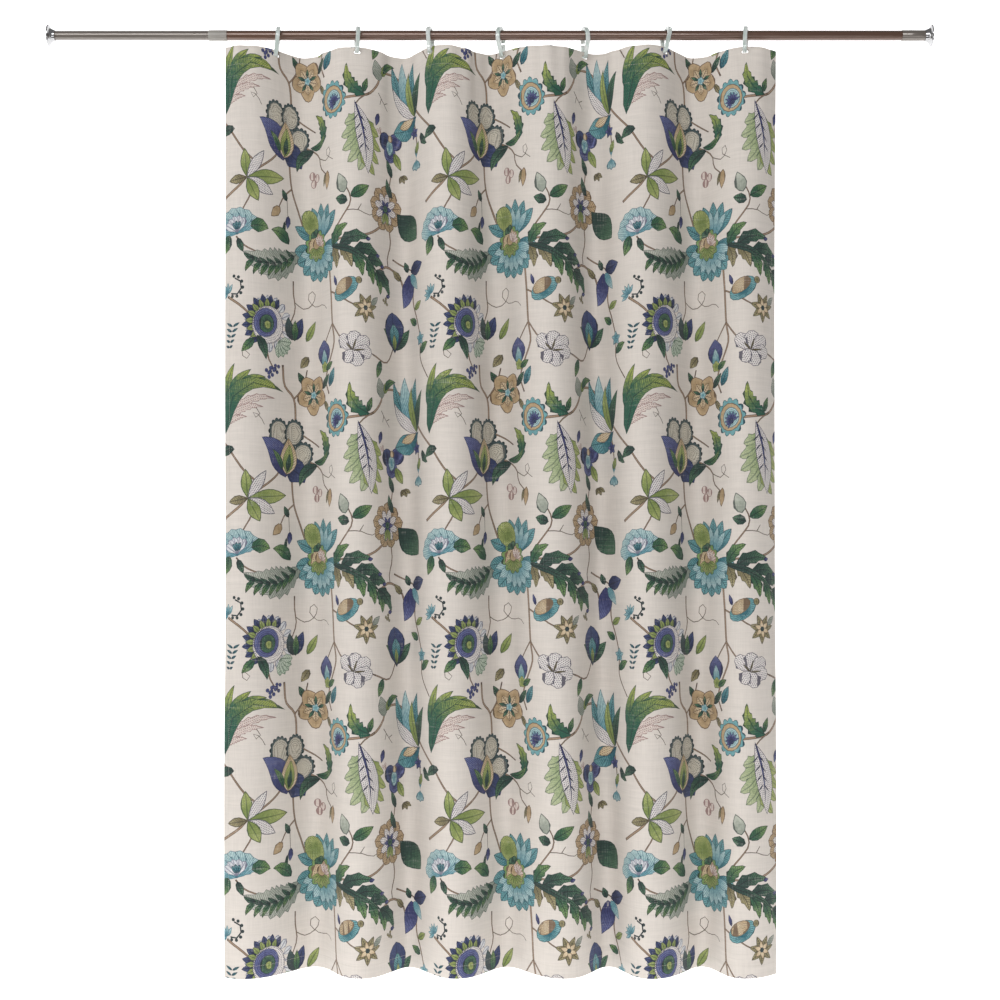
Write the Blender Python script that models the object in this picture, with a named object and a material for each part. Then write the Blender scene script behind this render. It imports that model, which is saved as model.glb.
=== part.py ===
"""Shower curtain on a telescopic tension rod.

A fabric curtain hangs by seven snap rings from a two-part metal rod that is clamped between two walls.
The origin is the middle of the right wall pad's outer face, +X runs along the rod and out of that wall,
+Z is up and the front of the curtain faces -Y. All sizes are in metres.
"""
import math

import bmesh
import bpy
from mathutils import Euler, Vector

# Driving dimensions: the rod
ROD_SPAN = 1.729                # wall to wall
OUTER_TUBE_RADIUS = 0.0097
TUBE_WALL = 0.0004
TELESCOPE_CLEARANCE = 0.0002    # radial, between the two tubes
SEAM_FROM_LEFT_WALL = 0.328     # where the outer tube's open end lies
TUBE_OVERLAP = 0.45             # how much of the inner tube is hidden
FIT_CLEARANCE = 0.0003          # between pieces that touch
RUNNING_CLEARANCE = 0.0002      # between pressed round pieces

# Driving dimensions: the end fittings
FLANGE_RADIUS = 0.0215
FLANGE_LENGTH = 0.0135
FLANGE_WALL = 0.0010
FLANGE_NECK_WALL = 0.0016
FLANGE_WALL_GAP = 0.0005        # the rim stands this far off the wall
FLANGE_RIM_WIDTH = 0.003        # flange's edge to the pad's edge
PAD_THICKNESS = 0.0018
PAD_STUD_RADIUS = 0.003
PAD_STUD_LENGTH = 0.008
PLUG_HEAD = 0.002
PLUG_LENGTH = 0.030
SLEEVE_LENGTH = 0.045           # ferrule beside the right flange
SLEEVE_WALL = 0.0005

# Driving dimensions: the bush at the outer tube's mouth
BUSH_ON_OUTER = 0.022
BUSH_ON_INNER = 0.014
BUSH_WALL = 0.0003              # over the outer tube
BUSH_LIP = 0.001

# Driving dimensions: the twist lock inside the tubes
SPINDLE_PLUG_LENGTH = 0.024
SPINDLE_LIP = 0.002
SPINDLE_RADIUS = 0.004
COLLET_LENGTH = 0.034
COLLET_SLIT = 0.002
CONE_LENGTH = 0.014
CONE_INSIDE_BORE = 0.0015       # radial, from the cone to the outer tube's bore

# Driving dimensions: the rings
RING_BAND = 0.008               # width along the rod
RING_CROWN_ROOM = 0.0048        # radial, from the rod to the inside of the crown
RING_FOOT_RADIUS = 0.007        # inner radius under the cloth
RING_REACH = 0.041              # rod axis to the inside of the foot
RING_CROWN_THICKNESS = 0.006
RING_FOOT_THICKNESS = 0.0034
RING_EDGE = 0.0009              # broken edge of the band
RING_GAP = 0.003                # opening of the snap
RING_SNAP_HEIGHT = -0.019       # middle of the opening, below the rod axis
RING_SEAT_GAP = 0.00035
CLOTH_SEAT_GAP = 0.0005         # buttonhole's upper edge over the ring's foot
# Where each ring hangs, as a share of the hung width, and how it is turned about its own length and
# leaned along the rod, in degrees
RINGS = (
    (0.090, 7.0, 4.0),
    (0.238, 10.0, -2.0),
    (0.370, -12.0, 1.0),
    (0.502, -16.0, -7.0),
    (0.653, 15.0, 1.0),
    (0.798, 20.0, 6.0),
    (0.943, -9.0, 8.0),
)

# Driving dimensions: the curtain
CURTAIN_WIDTH = 1.071           # as it hangs
CURTAIN_FROM_RIGHT_WALL = 0.307
CURTAIN_DROP = 1.80
CLOTH_THICKNESS = 0.0006
TOP_EDGE_BELOW_ROD = 0.0335
TOP_EDGE_WAVE = 0.005
FOLD_DEPTH_TOP = 0.030          # half of front to back
FOLD_DEPTH_BOTTOM = 0.042
FOLD_OPENS_BY = 0.35            # share of the drop in which the folds reach full depth
FOLD_MIDDLE_Y = -0.003
HELD_FORWARD = 0.018            # how far in front of the rod axis a ring lets the cloth hang
HELD_BACK = 0.013
HELD_DOWN = 0.10                # share of the drop in which the rings' pull fades
RING_PULL_WIDTH = 0.45          # in folds
FOLD_FRONT_FULLNESS = 0.12      # makes the fronts wide and the backs narrow
HEADER_HEIGHT = 0.038
BOTTOM_HEM_HEIGHT = 0.026
SIDE_HEM_WIDTH = 0.014
HEM_THICKNESS = 0.0005
HEM_GAP = 0.0004
BUTTONHOLE_BELOW_EDGE = 0.007
BUTTONHOLE_SPARE_HEIGHT = 0.0056    # over the foot's thickness
BUTTONHOLE_SPARE_WIDTH = 0.0018     # over the band's width and the foot's thickness
# Fold lines from the left edge, front and back in turn, as shares of the hung width. The first and
# the last lie just outside the cloth.
FOLDS_AT_TOP = (
    -0.062, 0.032, 0.139, 0.231, 0.318, 0.402, 0.486, 0.580, 0.666, 0.756, 0.855, 0.951, 1.041,
)
FOLDS_AT_BOTTOM = (
    -0.062, 0.040, 0.158, 0.246, 0.329, 0.415, 0.508, 0.607, 0.691, 0.762, 0.859, 0.927, 1.041,
)

ROUND_STEPS = 40
STEPS_PER_HALF_FOLD = 6
FOLD_STEP = 0.02                # for slopes
ROWS_DOWN = (0.10, 0.22, 0.36, 0.56, 0.78)

# Sizes that follow from the driving ones
OUTER_TUBE_BORE = OUTER_TUBE_RADIUS - TUBE_WALL
INNER_TUBE_RADIUS = OUTER_TUBE_BORE - TELESCOPE_CLEARANCE
INNER_TUBE_BORE = INNER_TUBE_RADIUS - TUBE_WALL
SEAM_X = SEAM_FROM_LEFT_WALL - ROD_SPAN
TUBE_START = PAD_THICKNESS + PLUG_HEAD + 2 * FIT_CLEARANCE
PAD_RADIUS = FLANGE_RADIUS - FLANGE_RIM_WIDTH
BUSH_RADIUS = OUTER_TUBE_RADIUS + RUNNING_CLEARANCE + BUSH_WALL
CONE_RADIUS = OUTER_TUBE_BORE - CONE_INSIDE_BORE
RING_CROWN_RADIUS = OUTER_TUBE_RADIUS + RING_CROWN_ROOM     # inner radius over the rod
BUTTONHOLE_HEIGHT = RING_FOOT_THICKNESS + BUTTONHOLE_SPARE_HEIGHT
BUTTONHOLE_WIDTH = RING_BAND + RING_FOOT_THICKNESS + BUTTONHOLE_SPARE_WIDTH
CURTAIN_LEFT = -CURTAIN_FROM_RIGHT_WALL - CURTAIN_WIDTH


def clear_scene():
    """Remove every object of the start-up scene."""
    for item in list(bpy.data.objects):
        bpy.data.objects.remove(item, do_unlink=True)


def material(name, colour, roughness, metallic=0.0, transmission=0.0):
    """A Principled material with one finish."""
    made = bpy.data.materials.new(name)
    made.use_nodes = True
    shader = made.node_tree.nodes["Principled BSDF"]
    shader.inputs["Base Color"].default_value = (*colour, 1.0)
    shader.inputs["Roughness"].default_value = roughness
    shader.inputs["Metallic"].default_value = metallic
    shader.inputs["Transmission Weight"].default_value = transmission
    made.diffuse_color = (*colour, 1.0)
    return made


def add_object(name, shape, finish, parent=None):
    """Put a bmesh or a mesh into the scene as a named object."""
    if isinstance(shape, bmesh.types.BMesh):
        mesh = bpy.data.meshes.new(name)
        shape.to_mesh(mesh)
        shape.free()
    else:
        mesh = shape
    if not mesh.materials:
        mesh.materials.append(finish)
    made = bpy.data.objects.new(name, mesh)
    bpy.context.scene.collection.objects.link(made)
    made.parent = parent
    return made


def add_empty(name, place):
    """An empty that marks a joint or a mounting place."""
    made = bpy.data.objects.new(name, None)
    made.location = place
    bpy.context.scene.collection.objects.link(made)
    return made


def smooth(thing, angle=35.0):
    """Shade smooth, with edges sharper than the angle kept."""
    thing.data.shade_smooth()
    thing.data.set_sharp_from_angle(angle=math.radians(angle))


def turned(profile, steps=ROUND_STEPS):
    """Spin a closed outline of (x, radius) points round the X axis into one solid."""
    shape = bmesh.new()
    points = [shape.verts.new((x, 0.0, radius)) for x, radius in profile]
    edges = [shape.edges.new((points[i - 1], points[i])) for i in range(len(points))]
    spun = [edge for edge in edges if any(vert.co.z > 1e-9 for vert in edge.verts)]
    for edge in set(edges) - set(spun):
        shape.edges.remove(edge)
    bmesh.ops.spin(
        shape, geom=points + spun, cent=(0, 0, 0), axis=(1, 0, 0), dvec=(0, 0, 0),
        angle=math.tau, steps=steps, use_merge=True,
    )
    bmesh.ops.remove_doubles(shape, verts=shape.verts[:], dist=1e-7)
    bmesh.ops.dissolve_degenerate(shape, edges=shape.edges[:], dist=1e-7)
    bmesh.ops.recalc_face_normals(shape, faces=shape.faces[:])
    return shape


def pipe(start, end, bore, radius):
    """A plain tube between two places on the X axis."""
    return turned([(start, bore), (end, bore), (end, radius), (start, radius)])


# ---------------------------------------------------------------------------------------------- rod

def wall_end(side, tube_radius, tube_bore, finishes, parent):
    """Flange, wall pad and tube plug of one end, inward from the wall along the end's own +X."""
    pad = turned([
        (0.0, 0.0), (0.0, PAD_RADIUS - 0.0006), (0.0006, PAD_RADIUS), (PAD_THICKNESS, PAD_RADIUS),
        (PAD_THICKNESS, PAD_STUD_RADIUS), (PAD_THICKNESS + PAD_STUD_LENGTH, PAD_STUD_RADIUS),
        (PAD_THICKNESS + PAD_STUD_LENGTH, 0.0),
    ])
    head = PAD_THICKNESS + FIT_CLEARANCE
    shoulder = head + PLUG_HEAD
    socket_end = PAD_THICKNESS + PAD_STUD_LENGTH + FIT_CLEARANCE
    socket = PAD_STUD_RADIUS + RUNNING_CLEARANCE
    body = tube_bore - RUNNING_CLEARANCE
    plug = turned([
        (head, socket), (head, tube_radius), (shoulder, tube_radius), (shoulder, body),
        (PLUG_LENGTH - 0.002, body), (PLUG_LENGTH, body - 0.0015), (PLUG_LENGTH, 0.0),
        (socket_end, 0.0), (socket_end, socket),
    ])
    bore = tube_radius + FIT_CLEARANCE
    neck = bore + FLANGE_NECK_WALL
    recess = PAD_RADIUS + FIT_CLEARANCE
    floor = PAD_THICKNESS + FIT_CLEARANCE
    rim_back = floor + FLANGE_WALL
    outline = [
        (FLANGE_WALL_GAP, recess), (FLANGE_WALL_GAP, FLANGE_RADIUS - 0.0004),
        (FLANGE_WALL_GAP + 0.0005, FLANGE_RADIUS), (rim_back - 0.0004, FLANGE_RADIUS),
        (rim_back, FLANGE_RADIUS - 0.0004),
    ]
    trumpet_steps = 6
    for step in range(1, trumpet_steps + 1):
        turn = 0.5 * math.pi * step / trumpet_steps
        outline.append((
            rim_back + (FLANGE_LENGTH - rim_back) * (1 - math.cos(turn)),
            neck + (FLANGE_RADIUS - neck - 0.0004) * (1 - math.sin(turn)),
        ))
    outline += [
        (FLANGE_LENGTH, bore), (floor, bore), (floor, recess),
    ]
    pieces = [
        add_object(f"{side}_wall_pad", pad, finishes["rubber"], parent),
        add_object(f"{side}_end_plug", plug, finishes["nylon"], parent),
        add_object(f"{side}_flange", turned(outline), finishes["chrome"], parent),
    ]
    for piece in pieces:
        smooth(piece)


def build_rod(finishes):
    """Both tubes, both wall ends, the mouth bush, the ferrule and the twist lock."""
    right = add_empty("right_wall", (0, 0, 0))
    right.rotation_euler.z = math.pi
    left = add_empty("left_wall", (-ROD_SPAN, 0, 0))
    wall_end("right", OUTER_TUBE_RADIUS, OUTER_TUBE_BORE, finishes, right)
    wall_end("left", INNER_TUBE_RADIUS, INNER_TUBE_BORE, finishes, left)

    outer = pipe(SEAM_X, -TUBE_START, OUTER_TUBE_BORE, OUTER_TUBE_RADIUS)
    smooth(add_object("outer_tube", outer, finishes["tube"]))
    inner_end = SEAM_X + TUBE_OVERLAP
    inner = pipe(TUBE_START - ROD_SPAN, inner_end, INNER_TUBE_BORE, INNER_TUBE_RADIUS)
    smooth(add_object("inner_tube", inner, finishes["tube"]))

    sleeve_end = -FLANGE_LENGTH - FIT_CLEARANCE
    sleeve_bore = OUTER_TUBE_RADIUS + RUNNING_CLEARANCE
    sleeve = pipe(sleeve_end - SLEEVE_LENGTH, sleeve_end, sleeve_bore, sleeve_bore + SLEEVE_WALL)
    smooth(add_object("right_ferrule", sleeve, finishes["tube"]))

    lip = SEAM_X - FIT_CLEARANCE
    on_inner = INNER_TUBE_RADIUS + RUNNING_CLEARANCE
    on_outer = OUTER_TUBE_RADIUS + RUNNING_CLEARANCE
    bush = turned([
        (SEAM_X - BUSH_ON_INNER, on_inner), (lip, on_inner), (lip, on_outer),
        (SEAM_X + BUSH_ON_OUTER, on_outer), (SEAM_X + BUSH_ON_OUTER, BUSH_RADIUS),
        (SEAM_X - BUSH_ON_INNER + BUSH_LIP, BUSH_RADIUS),
        (SEAM_X - BUSH_ON_INNER, BUSH_RADIUS - BUSH_LIP / 2),
    ])
    smooth(add_object("mouth_bush", bush, finishes["bush"]))
    build_twist_lock(inner_end, finishes)


def build_twist_lock(tube_end, finishes):
    """The spindle plugged into the inner tube and the split collet that it spreads."""
    plug = INNER_TUBE_BORE - RUNNING_CLEARANCE
    lip = tube_end + FIT_CLEARANCE
    shoulder = lip + SPINDLE_LIP
    cone = shoulder + COLLET_LENGTH + 2 * FIT_CLEARANCE
    spindle = turned([
        (tube_end - SPINDLE_PLUG_LENGTH, 0.0), (tube_end - SPINDLE_PLUG_LENGTH, plug), (lip, plug),
        (lip, INNER_TUBE_RADIUS), (shoulder, INNER_TUBE_RADIUS), (shoulder, SPINDLE_RADIUS),
        (cone, SPINDLE_RADIUS), (cone + CONE_LENGTH, CONE_RADIUS),
        (cone + CONE_LENGTH + SPINDLE_LIP, CONE_RADIUS), (cone + CONE_LENGTH + SPINDLE_LIP, 0.0),
    ])
    smooth(add_object("lock_spindle", spindle, finishes["nylon"]))

    start = shoulder + FIT_CLEARANCE
    hole = SPINDLE_RADIUS + RUNNING_CLEARANCE
    edge = OUTER_TUBE_BORE - RUNNING_CLEARANCE
    half_slit = math.asin(COLLET_SLIT / 2 / hole)
    steps = 32
    shape = bmesh.new()
    outline = [
        shape.verts.new((x, radius * math.sin(half_slit), radius * math.cos(half_slit)))
        for x, radius in (
            (start, hole), (start + COLLET_LENGTH, hole), (start + COLLET_LENGTH, edge), (start, edge),
        )
    ]
    face = shape.faces.new(outline)
    bmesh.ops.spin(
        shape, geom=[face, *face.edges, *face.verts], cent=(0, 0, 0), axis=(-1, 0, 0),
        dvec=(0, 0, 0), angle=math.tau - 2 * half_slit, steps=steps,
    )
    bmesh.ops.recalc_face_normals(shape, faces=shape.faces[:])
    smooth(add_object("lock_collet", shape, finishes["nylon"]))


# ---------------------------------------------------------------------------------------------- cloth

def between(values, place):
    """A smooth curve through evenly numbered values, read at a place between them."""
    last = len(values) - 1
    start = min(max(int(math.floor(place)), 0), last - 1)
    share = place - start
    before = values[start - 1] if start else 2 * values[0] - values[1]
    after = values[start + 2] if start + 2 <= last else 2 * values[last] - values[last - 1]
    here, there = values[start], values[start + 1]
    rise, run = (there - before) / 2, (after - here) / 2
    return (
        here * (2 * share**3 - 3 * share**2 + 1) + rise * (share**3 - 2 * share**2 + share)
        + there * (3 * share**2 - 2 * share**3) + run * (share**3 - share**2)
    )


def ease(share):
    """From 0 to 1 with a level start and end."""
    share = min(max(share, 0.0), 1.0)
    return share * share * (3 - 2 * share)


def near_rings(amounts, fold):
    """The sum of what each ring adds here, full at its fold number and gone half a fold away."""
    return sum(amount * math.exp(-(((fold - ring) / RING_PULL_WIDTH) ** 2)) for ring, amount in amounts)


class Drape:
    """The hanging cloth's middle surface, over a fold number and a share of the drop."""

    def __init__(self):
        self.left = self.fold_at(0.0)
        self.right = self.fold_at(1.0)
        self.ring_folds = [self.fold_at(share) for share, _, _ in RINGS]
        self.pulls = []
        free = [self.depth(fold, 0.0) for fold in self.ring_folds]
        held = [min(max(depth, -HELD_FORWARD), HELD_BACK) for depth in free]
        self.pulls = [(fold, end - start) for fold, start, end in zip(self.ring_folds, free, held)]
        self.corrections = []
        self.hangs = [
            RingHang(
                self.depth(fold, 0.0), self.heading(fold), math.radians(yaw), math.radians(lean),
                rod_radius(CURTAIN_LEFT + CURTAIN_WIDTH * share),
            )
            for fold, (share, yaw, lean) in zip(self.ring_folds, RINGS)
        ]
        self.corrections = [
            (fold, hang.hole_height + BUTTONHOLE_BELOW_EDGE - self.top_edge(fold))
            for fold, hang in zip(self.ring_folds, self.hangs)
        ]

    @staticmethod
    def fold_at(share):
        """The fold number where the top edge is at a share of the hung width."""
        low, high = 0.0, len(FOLDS_AT_TOP) - 1.0
        while high - low > 1e-7:
            middle = (low + high) / 2
            if between(FOLDS_AT_TOP, middle) < share:
                low = middle
            else:
                high = middle
        return (low + high) / 2

    @staticmethod
    def frontness(fold):
        """1 on a front fold line and -1 on a back one; fold 0 is a back line."""
        turn = math.pi * (fold - 1)
        return math.cos(turn) + FOLD_FRONT_FULLNESS * (1 - math.cos(2 * turn))

    def depth(self, fold, down):
        """How far behind the rod axis the cloth is."""
        half = FOLD_DEPTH_TOP + (FOLD_DEPTH_BOTTOM - FOLD_DEPTH_TOP) * ease(down / FOLD_OPENS_BY)
        pull = near_rings(self.pulls, fold) * (1 - ease(down / HELD_DOWN))
        return FOLD_MIDDLE_Y - half * self.frontness(fold) + pull

    def top_edge(self, fold):
        """Height of the top edge, pulled to the rings' feet where they hold it."""
        height = TOP_EDGE_WAVE * self.frontness(fold) - TOP_EDGE_BELOW_ROD
        return height + near_rings(self.corrections, fold)

    def point(self, fold, down, behind=0.0):
        """A point of the cloth, or of a layer that lies behind it."""
        top_x = between(FOLDS_AT_TOP, fold)
        bottom_x = between(FOLDS_AT_BOTTOM, fold)
        edge_share = (fold - self.left) / (self.right - self.left)
        edges = between(FOLDS_AT_BOTTOM, self.left) * (1 - edge_share)
        edges += (between(FOLDS_AT_BOTTOM, self.right) - 1) * edge_share
        x = CURTAIN_LEFT + CURTAIN_WIDTH * (top_x + (bottom_x - edges - top_x) * down)
        top = self.top_edge(fold)
        bottom = -TOP_EDGE_BELOW_ROD - CURTAIN_DROP
        place = Vector((x, self.depth(fold, down), top + (bottom - top) * down))
        if behind:
            place += self.backward(fold, down) * behind
        return place

    def along(self, fold, down):
        """A short step along the cloth, centred here."""
        return self.point(fold + FOLD_STEP, down) - self.point(fold - FOLD_STEP, down)

    def heading(self, fold):
        """The angle between the top edge and the rod, seen from above."""
        along = self.along(fold, 0.0)
        return math.atan2(along.y, along.x)

    def backward(self, fold, down):
        """The level direction out of the cloth's back."""
        along = self.along(fold, down)
        return Vector((-along.y, along.x, 0)).normalized()

    def fold_width(self, fold, down):
        """How much cloth one unit of fold number covers here."""
        return self.along(fold, down).length / (2 * FOLD_STEP)


def cloth_columns(drape):
    """Fold numbers of the cloth's columns: the edges, the side hems, the holes and an even spread."""
    spread = {}
    for number in range(int(STEPS_PER_HALF_FOLD * (len(FOLDS_AT_TOP) - 1)) + 1):
        fold = number / STEPS_PER_HALF_FOLD
        if drape.left < fold < drape.right:
            spread[fold] = "spread"
    holes = []
    for fold in drape.ring_folds:
        half = BUTTONHOLE_WIDTH / 2 / drape.fold_width(fold, 0.0)
        holes.append((fold - half, fold + half))
    hems = (
        drape.left + SIDE_HEM_WIDTH / drape.fold_width(drape.left, 0.0),
        drape.right - SIDE_HEM_WIDTH / drape.fold_width(drape.right, 0.0),
    )
    fixed = [drape.left, drape.right, *hems, *(side for hole in holes for side in hole)]
    apart = 0.3 / STEPS_PER_HALF_FOLD
    kept = [fold for fold in spread if all(abs(fold - other) > apart for other in fixed)]
    kept = [fold for fold in kept if not any(low < fold < high for low, high in holes)]
    return sorted(fixed + kept), holes, hems


def layer(drape, columns, rows, holes, behind, thickness):
    """A closed sheet of cloth on the given columns and rows, with a slot left for each hole."""
    shape = bmesh.new()
    front, back = behind - thickness / 2, behind + thickness / 2
    grid = {}
    for face, offset in enumerate((front, back)):
        for i, fold in enumerate(columns):
            for j, down in enumerate(rows):
                grid[face, i, j] = drape.point(fold, down, offset)
    hole_top = BUTTONHOLE_BELOW_EDGE / CURTAIN_DROP
    hole_bottom = hole_top + BUTTONHOLE_HEIGHT / CURTAIN_DROP

    def solid(i, j):
        """Whether the cell right of column i and below row j is cloth."""
        if not (0 <= i < len(columns) - 1 and 0 <= j < len(rows) - 1):
            return False
        fold = (columns[i] + columns[i + 1]) / 2
        down = (rows[j] + rows[j + 1]) / 2
        in_hole = any(low < fold < high for low, high in holes)
        return not (in_hole and hole_top < down < hole_bottom)

    verts = {}

    def corner(face, i, j):
        """The vertex of one grid corner, made when it is first used."""
        if (face, i, j) not in verts:
            verts[face, i, j] = shape.verts.new(grid[face, i, j])
        return verts[face, i, j]

    for i in range(len(columns) - 1):
        for j in range(len(rows) - 1):
            if not solid(i, j):
                continue
            shape.faces.new([corner(0, *c) for c in ((i, j), (i, j + 1), (i + 1, j + 1), (i + 1, j))])
            shape.faces.new([corner(1, *c) for c in ((i, j), (i + 1, j), (i + 1, j + 1), (i, j + 1))])
            sides = (
                ((i - 1, j), (i, j), (i, j + 1)), ((i + 1, j), (i + 1, j + 1), (i + 1, j)),
                ((i, j - 1), (i + 1, j), (i, j)), ((i, j + 1), (i, j + 1), (i + 1, j + 1)),
            )
            for neighbour, start, end in sides:
                if not solid(*neighbour):
                    rim = ((0, start), (1, start), (1, end), (0, end))
                    shape.faces.new([corner(face, *place) for face, place in rim])
    bmesh.ops.recalc_face_normals(shape, faces=shape.faces[:])
    return shape


def build_curtain(drape, finishes):
    """The panel with its buttonholes, the header tape and the three hems behind it."""
    columns, holes, hems = cloth_columns(drape)
    swing = add_empty("curtain_swing_axis", (CURTAIN_LEFT, FOLD_MIDDLE_Y, -RING_REACH))
    hole_top = BUTTONHOLE_BELOW_EDGE / CURTAIN_DROP
    hole_bottom = hole_top + BUTTONHOLE_HEIGHT / CURTAIN_DROP
    header = HEADER_HEIGHT / CURTAIN_DROP
    hem_top = 1 - BOTTOM_HEM_HEIGHT / CURTAIN_DROP
    joint = HEM_GAP / CURTAIN_DROP
    lift = joint * 2
    rows = [0.0, hole_top, hole_bottom, header, *ROWS_DOWN, hem_top, 1.0]
    header_rows = [lift, hole_top, hole_bottom, header]
    hem_rows = [hem_top, 1.0 - lift]
    side_rows = [header + joint, *ROWS_DOWN, hem_top - joint]
    left_columns = [fold for fold in columns if fold <= hems[0]]
    right_columns = [fold for fold in columns if fold >= hems[1]]
    behind = CLOTH_THICKNESS / 2 + HEM_GAP + HEM_THICKNESS / 2
    layers = (
        ("curtain_panel", columns, rows, holes, 0.0, CLOTH_THICKNESS, "cloth"),
        ("header_tape", columns, header_rows, holes, behind, HEM_THICKNESS, "hem"),
        ("bottom_hem", columns, hem_rows, (), behind, HEM_THICKNESS, "hem"),
        ("left_hem", left_columns, side_rows, (), behind, HEM_THICKNESS, "hem"),
        ("right_hem", right_columns, side_rows, (), behind, HEM_THICKNESS, "hem"),
    )
    for name, folds, downs, slots, offset, thickness, finish in layers:
        shape = layer(drape, folds, downs, slots, offset, thickness)
        bmesh.ops.translate(shape, verts=shape.verts[:], vec=-swing.location)
        smooth(add_object(name, shape, finishes[finish], swing), 60.0)


# ---------------------------------------------------------------------------------------------- rings

def ring_stations():
    """Inside points and outward directions of the band, from one snap end round to the other."""
    crown = Vector((0, OUTER_TUBE_RADIUS + RING_SEAT_GAP - RING_CROWN_RADIUS))
    foot = Vector((0, RING_FOOT_RADIUS - RING_REACH))
    lean = math.asin((RING_CROWN_RADIUS - RING_FOOT_RADIUS) / (crown.y - foot.y))
    side = Vector((math.cos(lean), -math.sin(lean)))
    upper, lower = crown + side * RING_CROWN_RADIUS, foot + side * RING_FOOT_RADIUS

    def on_strand(height):
        """The point of the right strand at a height."""
        share = (height - lower.y) / (upper.y - lower.y)
        return lower + (upper - lower) * share

    stations = [(on_strand(RING_SNAP_HEIGHT + RING_GAP / 2), side)]
    stations.append((on_strand(RING_SNAP_HEIGHT + RING_GAP / 2 + 0.004), side))
    steps = 14
    for step in range(steps + 1):
        turn = -lean + (math.pi + 2 * lean) * step / steps
        out = Vector((math.cos(turn), math.sin(turn)))
        stations.append((crown + out * RING_CROWN_RADIUS, out))
    left = Vector((-side.x, side.y))
    upper_left, lower_left = Vector((-upper.x, upper.y)), Vector((-lower.x, lower.y))
    stations.append(((upper_left + lower_left) / 2, left))
    steps = 10
    for step in range(steps + 1):
        turn = math.pi + lean + (math.pi - 2 * lean) * step / steps
        out = Vector((math.cos(turn), math.sin(turn)))
        stations.append((foot + out * RING_FOOT_RADIUS, out))
    stations.append((on_strand(RING_SNAP_HEIGHT - RING_GAP / 2), side))
    return stations


def ring_mesh(finish):
    """One snap ring, with its crown on the rod and its foot hanging down, as a mesh all rings share."""
    stations = ring_stations()
    top = max(point.y for point, _ in stations)
    bottom = min(point.y for point, _ in stations)
    half = RING_BAND / 2
    shape = bmesh.new()
    loops = []
    for number, (point, out) in enumerate(stations):
        share = ease((point.y - bottom) / (top - bottom))
        thick = RING_FOOT_THICKNESS + (RING_CROWN_THICKNESS - RING_FOOT_THICKNESS) * share
        if number in (0, len(stations) - 1):
            thick *= 1.25
        section = (
            (-half, RING_EDGE), (RING_EDGE - half, 0.0), (half - RING_EDGE, 0.0), (half, RING_EDGE),
            (half, thick - RING_EDGE), (half - RING_EDGE, thick), (RING_EDGE - half, thick),
            (-half, thick - RING_EDGE),
        )
        loops.append([
            shape.verts.new((across, point.x + out.x * depth, point.y + out.y * depth))
            for across, depth in section
        ])
    for this, following in zip(loops, loops[1:]):
        for corner in range(len(this)):
            shape.faces.new((this[corner - 1], this[corner], following[corner], following[corner - 1]))
    shape.faces.new(loops[0])
    shape.faces.new(loops[-1])
    bmesh.ops.recalc_face_normals(shape, faces=shape.faces[:])
    mesh = bpy.data.meshes.new("snap_ring")
    shape.to_mesh(mesh)
    shape.free()
    mesh.materials.append(finish)
    return mesh


def rod_radius(x):
    """The radius that carries a ring here: the bush's where it reaches, else the outer tube's."""
    if SEAM_X - BUSH_ON_INNER - RING_BAND < x < SEAM_X + BUSH_ON_OUTER + RING_BAND:
        return BUSH_RADIUS
    return OUTER_TUBE_RADIUS


class RingHang:
    """How a ring hangs from the rod to a buttonhole at a given depth behind the rod axis.

    The buttonhole rests at the lowest point of the ring's round foot. The heading is the cloth's there.
    """

    def __init__(self, depth, heading, yaw, lean, carrier):
        arm = RING_REACH - RING_FOOT_RADIUS
        tilt = math.asin(depth / arm)
        slant = Euler((0, lean, 0)).to_matrix()
        self.turn = Euler((tilt, 0, 0)).to_matrix() @ slant @ Euler((0, 0, yaw)).to_matrix()
        self.lift = self.seat(carrier)
        self.foot_centre = self.turn @ Vector((0, 0, self.lift - arm))
        half = RING_BAND / 2
        aside = half * abs(math.tan(heading - yaw)) + CLOTH_THICKNESS + HEM_GAP + HEM_THICKNESS
        arc_rise = RING_FOOT_RADIUS - math.sqrt(RING_FOOT_RADIUS**2 - aside**2)
        rise = arc_rise + half * abs(math.sin(lean)) + CLOTH_SEAT_GAP
        self.hole_height = self.foot_centre.z - RING_FOOT_RADIUS + rise

    def seat(self, carrier):
        """How far the ring is raised along its own length until its crown clears the rod's radius."""
        upward = self.turn @ Vector((0, 0, 1))
        half = RING_BAND / 2
        corners = [
            self.turn @ Vector((across, point.x, point.y))
            for point, _ in ring_stations() for across in (-half, 0.0, half)
        ]
        lift, step = 0.0, 0.00005
        while True:
            raised = [corner + upward * lift for corner in corners]
            if min(math.hypot(point.y, point.z) for point in raised) >= carrier + RING_SEAT_GAP:
                return lift
            lift += step


def build_rings(drape, finish):
    """Seven rings, each pointing from the rod to its own buttonhole."""
    mesh = ring_mesh(finish)
    for number, (fold, hang) in enumerate(zip(drape.ring_folds, drape.hangs)):
        hole = drape.point(fold, BUTTONHOLE_BELOW_EDGE / CURTAIN_DROP)
        made = add_object(f"ring_{number + 1}", mesh, finish)
        raised = hang.turn @ Vector((0, 0, hang.lift))
        made.location = (hole.x - hang.foot_centre.x + raised.x, raised.y, raised.z)
        made.rotation_euler = hang.turn.to_euler()
        smooth(made, 50.0)


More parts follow.
